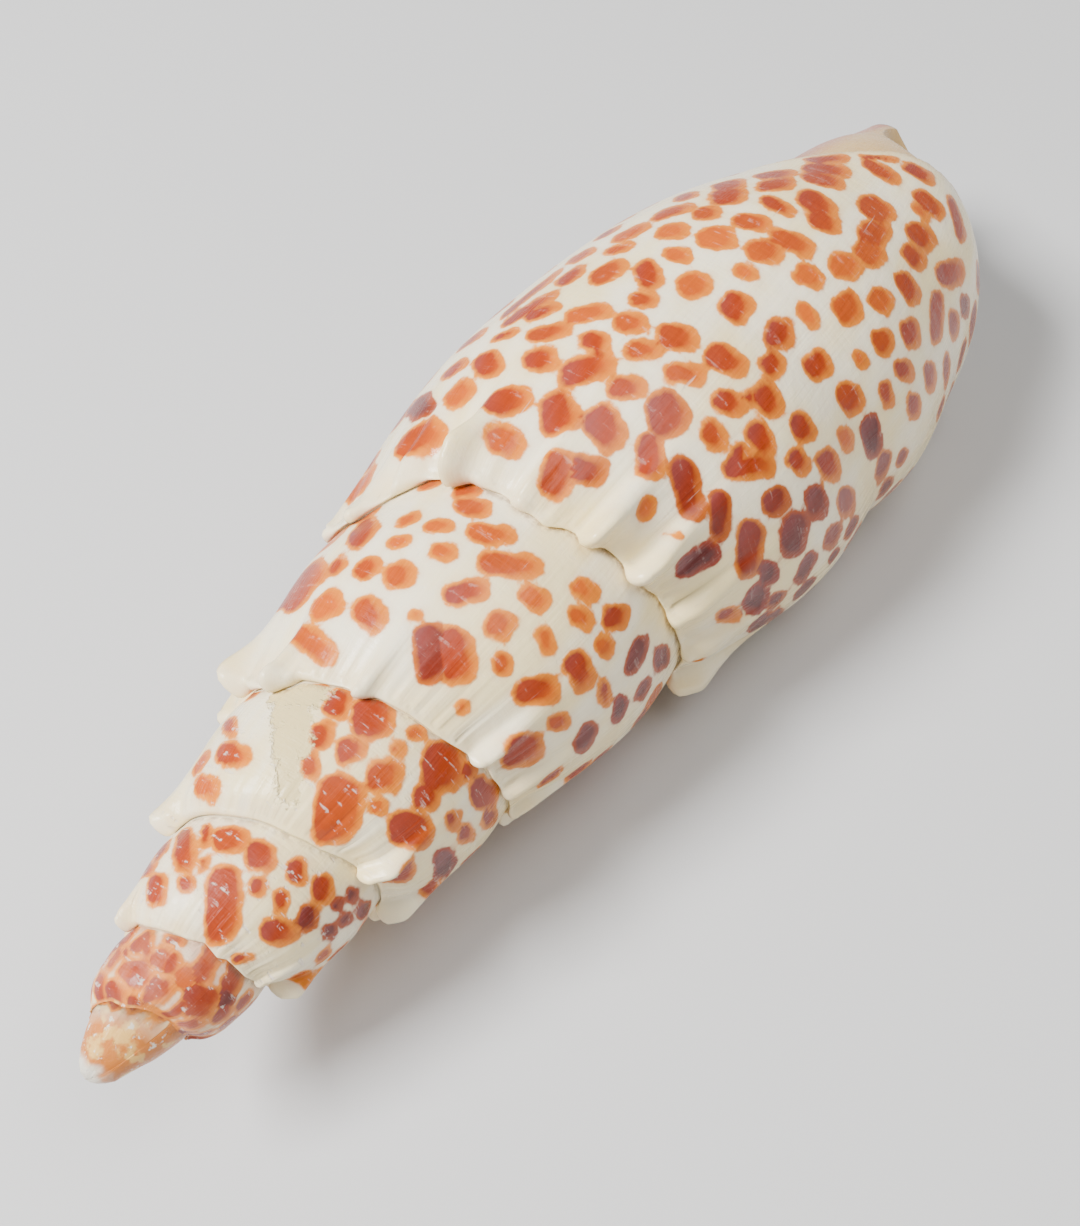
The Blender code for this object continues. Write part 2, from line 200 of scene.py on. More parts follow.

# Spots read off the photograph: pixels of the two ends of each, its width in pixels, and its tone from
# orange at 0 to maroon at 1.
# Tones are partly the spots' own colour, partly painted shade: lower right spots, away from the light, are
# darker.
BODY_SPOTS = (
    (446, 405, 472, 382, 18, 0.1), (483, 408, 531, 392, 26, 0.4), (552, 394, 566, 432, 40, 0.6),
    (594, 408, 618, 448, 36, 0.6), (657, 392, 678, 436, 40, 0.7), (608, 388, 645, 388, 22, 0.3),
    (562, 376, 612, 358, 28, 0.5), (580, 338, 610, 344, 20, 0.4), (596, 342, 604, 364, 16, 0.4),
    (522, 362, 558, 355, 22, 0.4), (475, 368, 502, 358, 24, 0.5), (526, 338, 571, 326, 14, 0.3),
    (567, 317, 612, 309, 17, 0.1), (614, 324, 648, 322, 18, 0.2), (658, 335, 696, 340, 26, 0.3),
    (625, 349, 663, 350, 19, 0.2), (664, 368, 705, 380, 22, 0.2), (492, 340, 519, 328, 7, 0.5),
    (524, 319, 560, 305, 9, 0.4), (502, 325, 556, 292, 9, 0.5), (443, 377, 468, 359, 8, 0.5),
    (500, 318, 560, 270, 5, 0.5), (556, 284, 586, 267, 10, 0.4), (590, 280, 624, 264, 18, 0.2),
    (638, 282, 660, 268, 30, 0.4), (630, 298, 657, 301, 13, 0.3), (604, 253, 633, 244, 8, 0.2),
    (611, 241, 648, 225, 9, 0.2), (658, 232, 688, 230, 14, 0.1), (664, 252, 692, 256, 14, 0.1),
    (676, 288, 712, 283, 25, 0.1), (408, 416, 430, 398, 18, 0.9), (397, 452, 438, 420, 24, 0.3),
    (486, 445, 523, 436, 26, 0.2),
    (805, 160, 848, 158, 8, 0.4), (802, 166, 851, 172, 12, 0.3), (803, 175, 845, 184, 13, 0.3),
    (756, 176, 795, 172, 8, 0.4), (757, 186, 796, 182, 13, 0.3), (712, 187, 746, 182, 10, 0.4),
    (709, 197, 746, 194, 17, 0.4), (675, 199, 698, 193, 6, 0.3), (761, 198, 793, 213, 14, 0.3),
    (798, 193, 836, 212, 20, 0.3), (808, 215, 840, 226, 18, 0.3), (652, 218, 692, 206, 9, 0.3),
    (693, 214, 720, 213, 12, 0.2), (734, 220, 770, 224, 15, 0.2), (698, 238, 735, 237, 22, 0.1),
    (748, 250, 784, 252, 22, 0.2), (774, 233, 813, 252, 20, 0.2), (735, 268, 759, 277, 15, 0.0),
    (796, 270, 824, 284, 22, 0.1), (722, 298, 750, 316, 28, 0.5), (801, 304, 818, 328, 15, 0.0),
    (840, 293, 856, 322, 27, 0.2), (870, 292, 893, 308, 22, 0.2), (862, 200, 893, 220, 24, 0.3),
    (860, 225, 890, 240, 26, 0.3), (856, 243, 884, 262, 24, 0.2), (830, 262, 862, 270, 26, 0.1),
    (862, 160, 899, 181, 12, 0.3), (862, 156, 898, 160, 5, 0.3), (905, 164, 935, 180, 12, 0.4),
    (913, 204, 929, 219, 9, 0.0), (915, 190, 945, 218, 16, 0.3), (950, 195, 964, 240, 10, 0.4),
    (908, 226, 934, 246, 20, 0.3), (903, 247, 925, 265, 18, 0.3), (948, 262, 955, 285, 30, 0.4),
    (938, 290, 936, 345, 14, 0.4), (900, 273, 918, 303, 17, 0.3), (964, 295, 966, 318, 9, 0.8),
    (765, 333, 795, 333, 30, 0.7), (763, 354, 782, 372, 22, 0.5), (811, 353, 825, 380, 28, 0.4),
    (854, 351, 866, 367, 12, 0.0), (878, 330, 890, 353, 21, 0.3), (908, 320, 914, 348, 18, 0.4),
    (709, 350, 746, 370, 24, 0.3), (900, 360, 910, 380, 16, 0.4), (929, 362, 932, 392, 11, 0.5),
    (954, 310, 955, 338, 10, 0.5), (714, 396, 745, 408, 20, 0.4), (756, 385, 780, 415, 24, 0.4),
    (745, 392, 760, 402, 12, 0.4), (845, 384, 857, 414, 24, 0.3), (883, 382, 891, 408, 13, 0.3),
    (913, 393, 916, 420, 13, 0.5), (702, 425, 725, 447, 24, 0.3), (752, 424, 773, 455, 22, 0.5),
    (795, 415, 812, 442, 22, 0.5), (843, 428, 850, 450, 14, 0.0), (870, 417, 873, 458, 20, 0.9),
    (722, 468, 776, 465, 26, 0.6), (734, 448, 750, 462, 16, 0.6), (792, 450, 805, 474, 22, 0.5),
    (822, 450, 836, 480, 22, 0.5), (888, 452, 878, 483, 12, 0.7), (906, 450, 899, 466, 8, 0.7),
    (677, 455, 697, 522, 26, 0.8), (650, 436, 650, 480, 26, 0.6), (565, 455, 550, 497, 36, 0.3),
    (568, 470, 606, 470, 30, 0.7), (639, 508, 657, 508, 20, 0.0), (678, 536, 684, 536, 7, 0.0),
    (675, 570, 720, 550, 26, 1.0), (719, 492, 721, 543, 20, 0.8), (753, 522, 745, 580, 24, 0.7),
    (770, 490, 782, 512, 26, 0.8), (812, 486, 823, 518, 20, 0.9), (847, 490, 849, 515, 17, 0.7),
    (798, 515, 792, 558, 26, 0.9), (838, 524, 828, 548, 14, 0.8), (857, 518, 846, 540, 7, 0.8),
    (768, 562, 772, 585, 19, 1.0), (762, 586, 750, 612, 20, 1.0), (815, 553, 797, 583, 12, 0.9),
    (783, 592, 769, 608, 9, 0.8), (718, 620, 736, 610, 15, 0.4), (770, 617, 752, 634, 9, 0.9),
    (783, 613, 772, 623, 6, 0.8), (892, 478, 880, 498, 7, 0.8), (815, 580, 795, 600, 6, 0.9),
    (838, 550, 830, 562, 5, 0.9),
)
WHORL_SPOTS = (
    (420, 487, 440, 481, 9, 0.1), (455, 492, 482, 490, 12, 0.3), (455, 506, 490, 508, 18, 0.3),
    (375, 518, 350, 545, 18, 0.6), (398, 523, 421, 515, 10, 0.1), (389, 544, 413, 538, 10, 0.1),
    (425, 528, 453, 524, 12, 0.1), (429, 548, 458, 553, 15, 0.1), (469, 530, 515, 537, 18, 0.2),
    (478, 562, 545, 567, 24, 0.2), (330, 571, 346, 557, 11, 0.3), (356, 576, 378, 560, 16, 0.3),
    (385, 578, 413, 572, 25, 0.2), (322, 560, 280, 610, 20, 0.4), (445, 595, 490, 590, 24, 0.5),
    (522, 590, 548, 606, 20, 0.0), (573, 582, 595, 597, 20, 0.0), (312, 612, 340, 598, 24, 0.1),
    (358, 600, 380, 628, 28, 0.3), (410, 614, 422, 614, 10, 0.1), (485, 618, 515, 630, 28, 0.1),
    (571, 610, 592, 626, 18, 0.1), (604, 616, 628, 616, 24, 0.4), (542, 628, 552, 655, 20, 0.0),
    (432, 626, 436, 682, 36, 0.8), (446, 628, 462, 684, 42, 0.4), (597, 647, 615, 647, 19, 0.1),
    (293, 632, 333, 655, 24, 0.2), (494, 665, 512, 665, 22, 0.1), (570, 655, 590, 688, 26, 0.4),
    (643, 637, 630, 673, 16, 0.9), (663, 648, 663, 670, 16, 0.9), (604, 680, 607, 707, 12, 0.5),
    (515, 691, 559, 691, 30, 0.3), (648, 680, 638, 702, 10, 0.9), (624, 695, 616, 722, 12, 1.0),
    (459, 708, 467, 708, 8, 0.0), (502, 755, 545, 748, 36, 0.5), (548, 725, 572, 722, 18, 0.2),
    (591, 723, 580, 752, 15, 0.9),
)
SPIRE_SPOTS = (
    (230, 718, 230, 734, 13, 0.3), (216, 754, 248, 754, 24, 0.3), (206, 774, 206, 798, 21, 0.1),
    (311, 687, 327, 687, 8, 0.3), (343, 690, 336, 716, 24, 0.4), (321, 725, 321, 748, 20, 0.3),
    (311, 755, 311, 776, 16, 0.2), (351, 716, 394, 716, 40, 0.4), (337, 751, 364, 751, 22, 0.3),
    (406, 734, 426, 734, 11, 0.1), (390, 747, 406, 747, 15, 0.1), (366, 775, 402, 775, 32, 0.2),
    (342, 776, 336, 842, 50, 0.2), (369, 807, 385, 807, 13, 0.0), (444, 740, 444, 792, 40, 0.4),
    (414, 798, 442, 798, 28, 0.4), (392, 830, 434, 830, 36, 0.4), (469, 765, 469, 778, 12, 0.4),
    (487, 779, 487, 810, 26, 0.6), (452, 812, 452, 832, 15, 0.5), (491, 810, 491, 826, 13, 0.6),
    (467, 825, 467, 843, 15, 0.6), (445, 852, 445, 880, 20, 1.0), (184, 825, 184, 867, 18, 0.6),
    (206, 824, 206, 843, 9, 0.5), (214, 838, 246, 838, 24, 0.3), (262, 842, 262, 870, 30, 0.4),
    (203, 860, 203, 871, 9, 0.4), (187, 876, 187, 892, 16, 0.4), (222, 866, 224, 944, 36, 0.4),
    (258, 878, 258, 894, 14, 0.4), (298, 858, 298, 886, 20, 0.4), (322, 875, 322, 904, 22, 0.4),
    (156, 874, 156, 902, 18, 0.5), (283, 890, 283, 910, 13, 0.3), (309, 904, 309, 928, 20, 0.8),
    (262, 930, 294, 934, 20, 0.5), (346, 896, 358, 896, 14, 0.9), (332, 905, 344, 905, 13, 0.9),
    (359, 911, 371, 911, 13, 0.9), (340, 919, 352, 919, 13, 0.9), (324, 932, 337, 932, 13, 0.9),
    (146, 929, 146, 958, 14, 0.5), (126, 947, 126, 960, 8, 0.5), (163, 940, 185, 940, 12, 0.4),
    (138, 957, 138, 988, 30, 0.3), (171, 952, 171, 973, 18, 0.4), (208, 946, 208, 956, 10, 0.5),
    (191, 973, 215, 973, 24, 0.4), (234, 958, 250, 958, 8, 0.6), (236, 962, 236, 982, 17, 0.8),
    (160, 985, 172, 985, 11, 0.4), (142, 998, 167, 998, 13, 0.4), (184, 1003, 214, 1003, 36, 0.6),
    (227, 991, 227, 1006, 13, 0.9),
)
# Bald yellow patches of the scar on the third whorl: pixels of the ends and width.
SCAR_PATCHES = ((268, 700, 330, 690, 24), (282, 700, 290, 800, 28), (300, 700, 300, 760, 24))
# Spots on the surface, in millimetres: least and greatest half size, how square they are, how near two merge,
# the distance where none is near, and how far each reaches.
SPOT_LEAST, SPOT_MOST = 0.22, 4.6
SPOT_SQUARE = 2.9
SPOT_MERGE = 0.25
SPOT_FAR = 6.0
SPOT_REACH = 9.0
# Least values to divide a spot's distance by, and how much a step along the shell counts towards its front.
LEAST_ROUND, LEAST_STEEPNESS = 0.05, 0.1
ALONG_LEAD = 0.5
# How a pixel's place on the surface is found: how squarely it is seen, pixels to look around, millimetres of
# depth that count as the same surface, the step of the slopes, and how flat a view may be.
SEEN_FACING = 0.04
SEARCH_REACHES = (7, 14, 28, 56)
SAME_DEPTH = 2.0
SLOPE_STEP = 0.5
STEEPEST = 2.0
MAP_STEP = 0.3
FLATTEST_PLACE, FLATTEST_SPOT = 0.05, 0.02
FARTHEST_STEP = 0.5
# Seeded spots, in millimetres at the lip: spacing, which shrinks with the whorl, the rows' share of it, half
# sizes, slant, tones, unevenness, and the bare bands by the rim, the seam, the front end and the lip.
HIDDEN_SPACING = 5.2
HIDDEN_SHRINK = 0.6
HIDDEN_ROW_SHARE = 0.8
HIDDEN_HALF_SIZES = (1.2, 2.3)
HIDDEN_SHAPE = (1.0, 0.8)
HIDDEN_SLANT = 0.6
HIDDEN_TONES = (0.1, 0.7)
UNEVEN_TURN, UNEVEN_ALONG = 0.22, 0.25
BARE_BY_RIM, BARE_BY_SPOT = 3.2, 0.9
BARE_BY_SEAM, BARE_BY_END = 0.6, 3.0
LIP_MARGIN_TURNS = 0.01
# Blocks of the fifth whorl: turns, spacing, and widths, steps and half sizes in shares of it.
DENSE_TURNS = (-5.1, -4.05)
DENSE_SPACING = 1.9
DENSE_START = 0.05
DENSE_WIDTHS = (0.7, 1.3)
DENSE_STEPS = (1.0, 1.15)
DENSE_HALF_WIDTH = 0.42
DENSE_HALF_LENGTHS = (0.4, 0.52)
DENSE_UNEVEN = 0.2
DENSE_TONES = (0.1, 0.6)
# Where the photograph sees the surface more squarely than this, seeded spots keep clear of the seen ones, and
# from the second value on there are none. The gap is a share of their spacing.
HIDDEN_FACING, EDGE_FACING = 0.02, 0.32
EDGE_GAP = 0.8

# Hollow of the last whorl, in millimetres.
WALL = 1.8
CALLUS = 0.4
HOLLOW_TURNS = 0.8
HOLLOW_COLUMNS = 70
HOLLOW_TRIALS = 400
HOLLOW_PAST_LIP = 0.02
HOLLOW_CORNER = 3.0
HOLLOW_LEAST_GAP = 0.8
HOLLOW_OUTER_ROWS = 40
HOLLOW_INNER_ROWS = 70
COLUMELLA_FOLDS = 4
COLUMELLA_FOLD_HEIGHT = 0.8
COLUMELLA_FOLD_SPACING = 4.2
COLUMELLA_FOLDS_FROM_POLE = 100.0
COLUMELLA_FOLD_SLANT = 12.0
# Egg-shaped cuts that open the front end: turn, radius, half sizes along the shell, across it and outwards.
FRONT_CUTS = (
    ("aperture_cutter", -0.06, 9.4, (6.5, 8.0, 5.8)),
    ("notch_cutter", -0.243, 12.0, (9.5, 9.0, 10.0)),
)
CUT_SEGMENTS = 56
CUT_RINGS = 32
# Points this close are one once the hollow is cut, in millimetres.
MERGE_WITHIN = 0.002

# Colours of the shell, as linear red, green and blue.
WHITE = (0.94, 0.84, 0.62)
CREAM = (0.93, 0.77, 0.42)
SHOULDER = (0.90, 0.70, 0.34)
PINK = (0.70, 0.36, 0.24)
ORANGE = (0.62, 0.12, 0.008)
FRINGE = (0.76, 0.235, 0.018)
RED = (0.33, 0.036, 0.006)
MAROON = (0.11, 0.011, 0.008)
PURPLE = (0.25, 0.06, 0.06)
WORN_SPOT = (0.66, 0.30, 0.20)
APEX_ORANGE = (0.60, 0.19, 0.03)
APEX_YELLOW = (0.80, 0.47, 0.13)
APEX_WHITE = (0.80, 0.74, 0.62)
MARGIN_TAN = (0.80, 0.58, 0.28)
CANAL_YELLOW = (0.68, 0.44, 0.18)
CANAL_RED = (0.50, 0.17, 0.09)
CANAL_CREAM = (0.84, 0.64, 0.36)
SCAR_YELLOW = (0.72, 0.58, 0.28)
INSIDE_YELLOW = (0.76, 0.55, 0.28)
# Painted shade for the seams under the overhanging rims.
SEAM_SHADE = (0.20, 0.10, 0.05)
HALO = (0.72, 0.42, 0.24)
PIT_PALE = (0.80, 0.70, 0.62)
INSIDE_CREAM = (0.82, 0.70, 0.50)
# Gloss of the shell.
ROUGHNESS = (0.19, 0.33)
SPECULAR = 0.22
COAT = 0.12
COAT_ROUGHNESS = 0.12
SUBSURFACE = 0.08
SUBSURFACE_RADII = (0.0015, 0.0010, 0.0006)

# Floor, and the lights: name, place and size in metres, and power.
FLOOR_HALF = 3.0
FLOOR_GREY = 0.56
FLOOR_ROUGHNESS = 0.7
WORLD_COLOUR = (1.0, 0.97, 0.93)
WORLD_STRENGTH = 0.33
LIGHT_TARGET = (0, 0, 0.02)
LIGHTS = (
    ("window", (-0.36, 0.26, 0.56), (0.26, 0.2), 12.5),
    ("fill", (0.1, -0.3, 0.9), (0.6, 0.6), 5.0),
)
CAMERA_NEAR = 0.005


def growth(turn, rates):
    """How large something is at a turn, against its size at the lip."""
    first, second, third = rates
    return np.exp(first * turn + second * turn**2 + third * turn**3)


def rim_at(turn):
    """Distance from the spiral's pole to the rim at a turn."""
    return LIP_RIM_FROM_POLE * growth(turn, RIM_GROWTH)


def size_at(turn):
    """Scale of the whorl at a turn."""
    return growth(turn, SIZE_GROWTH)


def step_at(turn):
    """Height of the rim over the whorl before it, which is less on the worn first whorls."""
    least, turns = EARLY_STEP
    return RIM_STEP * size_at(turn) * np.clip((turn + TURNS) / turns, least, 1)


def curve_weights(share, count):
    """Weights of evenly spaced values for a natural cubic curve through them, at each share of the way."""
    bend = np.eye(count)
    source = np.zeros((count, count))
    for k in range(1, count - 1):
        bend[k, k - 1 : k + 2] = (1, 4, 1)
        source[k, k - 1 : k + 2] = (6, -12, 6)
    second = np.linalg.solve(bend, source)
    place = np.clip(share, 0, 1) * (count - 1)
    left = np.minimum(place.astype(int), count - 2)
    ahead = (place - left)[:, None]
    behind = 1 - ahead
    exact = np.eye(count)
    curve = (behind**3 - behind) * second[left] + (ahead**3 - ahead) * second[left + 1]
    return behind * exact[left] + ahead * exact[left + 1] + curve / 6


def whorl_radius(turn, share):
    """Radius of a whorl at a share of the way from its rim to the next one."""
    turn, share = np.broadcast_arrays(np.asarray(turn, float), share)
    size = size_at(turn)
    rim = (WHORL_RADII[-1] * size_at(turn - 1) + step_at(turn)) / size
    weights = curve_weights(share.ravel(), 1 + len(WHORL_RADII))
    values = np.column_stack([rim.ravel(), *(np.full(rim.size, r) for r in WHORL_RADII)])
    return size * (weights * values).sum(axis=1).reshape(size.shape)


def front_radius(turn, share):
    """Radius at a share of the way from the next rim to the front end."""
    turn, share = np.broadcast_arrays(np.asarray(turn, float), share)
    side = (turn - LEFT_SIDE_TURN) / (LIP_SIDE_TURN - LEFT_SIDE_TURN)
    side = np.where(side < 0, PILLAR_SIDE_SHARE * np.tanh(side / PILLAR_SIDE_SHARE), side)
    weights = curve_weights(share.ravel(), 1 + len(LIP_SIDE_RADII))
    lip_side = (weights @ (WHORL_RADII[-1], *LIP_SIDE_RADII)).reshape(side.shape)
    left_side = (weights @ (WHORL_RADII[-1], *LEFT_SIDE_RADII)).reshape(side.shape)
    return size_at(turn) * (lip_side * side + left_side * (1 - side))


def base_radius(turn, along):
    """Radius of what the whorl at a turn grows over: the front of the whorl before it."""
    rim = rim_at(turn)
    share = np.clip((along - rim) / (END_FROM_POLE - rim), 0, 1)
    return front_radius(turn - 1, share)


def swelling(turn, along):
    """How far the last whorl's face stands out from the even spiral."""
    height = 0.0
    for middle, distance, turn_width, width, most in SWELLINGS:
        off = ((turn - middle) / turn_width) ** 2 + ((along - distance) / width) ** 2
        height = height + most * np.exp(-off)
    return height * np.clip((END_FROM_POLE - along) / SWELLINGS_END, 0, 1)


def face_radius(turn, along):
    """Radius of the outer face, folds left out, at a distance from the pole."""
    rim, next_rim = rim_at(turn), rim_at(turn + 1)
    on_whorl = whorl_radius(turn, np.clip((along - rim) / (next_rim - rim), 0, 1))
    return np.where(along < next_rim, on_whorl, base_radius(turn + 1, along)) + swelling(turn, along)


LAY_DOWN = (
    Matrix.Translation(Vector(APEX_PLACE) * MM)
    @ Matrix.Rotation(math.radians(REST_TIP), 4, "Y")
    @ Matrix.Rotation(math.radians(REST_ROLL), 4, "X")
)


def place(turn, along, radius):
    """Points in the part's frame at turns, distances from the pole and radii."""
    angle = math.radians(LIP_ANGLE) + TAU * np.asarray(turn, float)
    angle, along, radius = np.broadcast_arrays(angle, along, radius)
    local = np.stack([along - APEX_FROM_POLE, -radius * np.sin(angle), radius * np.cos(angle)], -1) * MM
    lay = np.array(LAY_DOWN)
    return local @ lay[:3, :3].T + lay[:3, 3]


CAMERA_AXES = np.array(Euler([math.radians(a) for a in CAMERA_TURN]).to_matrix())


def photo_pixels(points):
    """Where points fall in the photograph, and how far away they are."""
    seen = (points - np.array(CAMERA_PLACE) * MM) @ CAMERA_AXES
    depth = -seen[..., 2]
    x = PHOTO_SIZE[0] / 2 + PHOTO_FOCAL_PIXELS * seen[..., 0] / depth
    y = PHOTO_SIZE[1] / 2 - PHOTO_FOCAL_PIXELS * seen[..., 1] / depth
    return np.stack([x, y], -1), depth


def rim_ring(turn):
    """Length of the rim in a full turn, in millimetres, at a turn."""
    return TAU * (WHORL_RADII[-1] * size_at(turn - 1) + RIM_STEP * size_at(turn))


def rim_places(whorl, pixels):
    """Turn, and distance past the even rim, of points that are seen at these pixels on a whorl's rim."""
    turns = np.linspace(*RIM_SEEN_TURNS, RIM_TRIALS[0])[:, None] - whorl
    size = size_at(turns)
    off = np.linspace(RIM_OFF_LEAST, RIM_OFF_MOST, RIM_TRIALS[1])[None, :] * size
    radius = face_radius(turns - 1, rim_at(turns) - off) + RIM_SEEN_STEP * RIM_STEP * size
    seen, _ = photo_pixels(place(turns, rim_at(turns) - off, radius))
    found = []
    for x, y in pixels:
        i, k = np.unravel_index(np.hypot(seen[..., 0] - x, seen[..., 1] - y).argmin(), off.shape)
        found.append((turns[i, 0], off[i, k]))
    return np.array(sorted(found))


def fold_tables():
    """Turn and reach past the even rim of each dip, and turn and length of each finger, seen or seeded."""
    rng = np.random.default_rng(SEED)
    dips, fingers = [], []
    for whorl in RIM_DIPS:
        low = rim_places(whorl, RIM_DIPS[whorl])
        high = rim_places(whorl, RIM_TIPS[whorl])
        base = np.interp(high[:, 0], low[:, 0], low[:, 1])
        size = size_at(high[:, 0])
        length = np.clip(high[:, 1] - base, FINGER_LEAST * size, FINGER_MOST * size)
        dips.extend(map(tuple, low))
        fingers.extend(zip(high[:, 0], length))
        here = max(low[-1, 0], high[-1, 0]) + GAP_AFTER_SEEN
        stop = min((turn for turn, _ in dips + fingers if turn > here), default=-whorl + SEEN_WITHIN)
        stop = min(stop, RIM_SEEN_TURNS[1])
        while here < stop - GAP_BEFORE_SEEN:
            size = size_at(here)
            fingers.append((here, rng.uniform(*HIDDEN_FINGERS) * size))
            step = rng.uniform(*HIDDEN_STEPS) / HIDDEN_FOLDS_PER_TURN
            dips.append((here + step / 2, rng.uniform(*HIDDEN_DIPS) * size))
            here += step
    first = min(turn for turn, _ in dips + fingers)
    here = -TURNS
    while here < first - GAP_BEFORE_SEEN:
        size = size_at(here)
        fingers.append((here, rng.uniform(*APEX_FINGERS) * size))
        dips.append((here + 0.5 / HIDDEN_FOLDS_PER_TURN, APEX_DIP * size))
        here += rng.uniform(*APEX_STEPS) / HIDDEN_FOLDS_PER_TURN
    return np.array(sorted(dips)), np.array(sorted(fingers))


DIPS, FINGERS = fold_tables()


def fold_shares(turn):
    """Reach of the rim without its fingers, reach of the fingers, and share of the fold beside them."""
    turn = np.asarray(turn, float)
    ring = rim_ring(turn)
    size = size_at(turn)
    finger = np.zeros_like(turn)
    scoop = np.zeros_like(turn)
    nexts = np.append(FINGERS[1:, 0], FINGERS[-1, 0] + LAST_FOLD_TURNS)
    for (crest, length), following in zip(FINGERS, nexts):
        near = np.abs(turn - crest) < FOLD_REACH_TURNS
        x = (turn[near] - crest) * ring[near] / (FINGER_WIDTH * size[near])
        shape = np.exp(-np.abs(np.where(x < 0, x / STEEP_SIDE, x)) ** FINGER_SQUARE)
        finger[near] = np.maximum(finger[near], length * shape)
        strength = np.clip(length / (FINGER_NORM * size[near]), *FOLD_STRENGTHS)
        gap = np.clip((turn[near] - crest) / (following - crest), 0, 1)
        fall = np.where(x < 0, np.exp(-((x / STEEP_SIDE) ** 2)), 0.5 + 0.5 * np.cos(math.pi * gap))
        scoop[near] = np.maximum(scoop[near], strength * fall)
    return np.interp(turn, DIPS[:, 0], DIPS[:, 1]), finger, scoop


def seam_place(turns):
    """Distance from the pole and radius of the seam below a whorl's rim."""
    along = rim_at(turns) - np.interp(turns, DIPS[:, 0], DIPS[:, 1]) + SEAM_TUCK * size_at(turns)
    return along, face_radius(turns - 1, along)


def whorl_rows(turns, count):
    """Distance from the pole and radius of each row, from the seam over the rim to the next seam."""
    size = size_at(turns)
    rim = rim_at(turns)
    base, reach, scoop = fold_shares(turns)
    finger = reach / (FINGER_NORM * size)
    tip = rim - base - reach
    under = face_radius(turns - 1, tip)
    low = under + RIM_UNDER_SHARE * step_at(turns)
    sink = SCOOP_DEPTH * size * np.clip(1 - scoop, 0, 1)
    rise = FINGER_LIFT * size * (FINGER_SHARE * finger + FOLD_SHARE * scoop)
    worn = step_at(turns) / (RIM_STEP * size)
    top = under + step_at(turns) + (TIP_LIFT_SHARE * rise - sink) * worn
    top = np.maximum(top, low + RIM_LEAST * size * worn)
    middle, half = (low + top) / 2, (top - low) / 2
    plain_share, finger_share = ROUND_SHARES
    round_off = RIM_ROUND * size * (plain_share + finger_share * np.clip(finger, 0, 1))
    seam_along, seam_radius = seam_place(turns)
    along = [seam_along]
    radius = [seam_radius]
    for degrees in RIM_ARC:
        angle = math.radians(degrees)
        along.append(tip + round_off * (1 - math.cos(angle)))
        radius.append(middle + half * math.sin(angle))
    start, (end, _) = tip + round_off, seam_place(turns + 1)
    even = face_radius(turns, start)
    pleat = sum(np.sin(TAU * rate * turns + rate) for rate in PLEAT_RATES) * PLEAT_HEIGHT * size
    for row in range(1, count):
        x = start + (end - start) * (row / count) ** ROW_EASE
        fade = np.exp(-(((x - start) / (FOLD_LENGTH * size)) ** FOLD_FADE))
        near = np.exp(-(((x - start) / (RIM_BLEND * size)) ** 2))
        relief = worn * (rise - sink + pleat) * fade * (1 - near) + (top - even + worn * pleat) * near
        along.append(x)
        radius.append(face_radius(turns, x) + relief)
    along, radius = np.array(along).T, np.array(radius).T
    return blended_start(turns, along, radius)


def blended_start(turns, along, radius):
    """The rows, with those of the first whorl let out of the apex's dome little by little."""
    early = turns < START_BLEND - TURNS
    share = np.clip((turns[early] + TURNS) / START_BLEND, 0, 1)[:, None]
    share = share * share * (3 - 2 * share)
    near_along, near_radius = (value[early][:, None] for value in seam_place(turns))
    far_along, far_radius = (value[early][:, None] for value in seam_place(turns + 1))
    row = np.linspace(0, 1, along.shape[1])[None, :]
    dome_radius = near_radius + (far_radius - near_radius) * row
    start = APEX_FROM_POLE + (far_along - APEX_FROM_POLE) * (dome_radius / far_radius) ** 2
    fix = near_along - (APEX_FROM_POLE + (far_along - APEX_FROM_POLE) * (near_radius / far_radius) ** 2)
    dome_along = start + fix * (1 - row) * share
    along[early] = along[early] * share + dome_along * (1 - share)
    radius[early] = radius[early] * share + dome_radius * (1 - share)
    return along, radius


def past_margin(turns, along):
    """Millimetres past the margin of the front end, where the canal's floor comes out."""
    return along - np.interp(turns, MARGIN[:, 0], MARGIN[:, 1])


def front_rows(turns):
    """Distance from the pole and radius of each row from the last rim's seam to the front end."""
    start = seam_place(turns + 1)[0][:, None]
    share = np.linspace(0, 1, FRONT_ROWS)[None, :]
    along = start + share * (END_FROM_POLE - start)
    radius = base_radius(turns[:, None] + 1, along) + swelling(turns[:, None], along)
    drop = np.clip(past_margin(turns[:, None], along) / MARGIN_EASE, 0, 1)
    drop = drop * np.clip((END_FROM_POLE - along) / MARGIN_END, 0, 1)
    return along, radius - MARGIN_STEP * drop


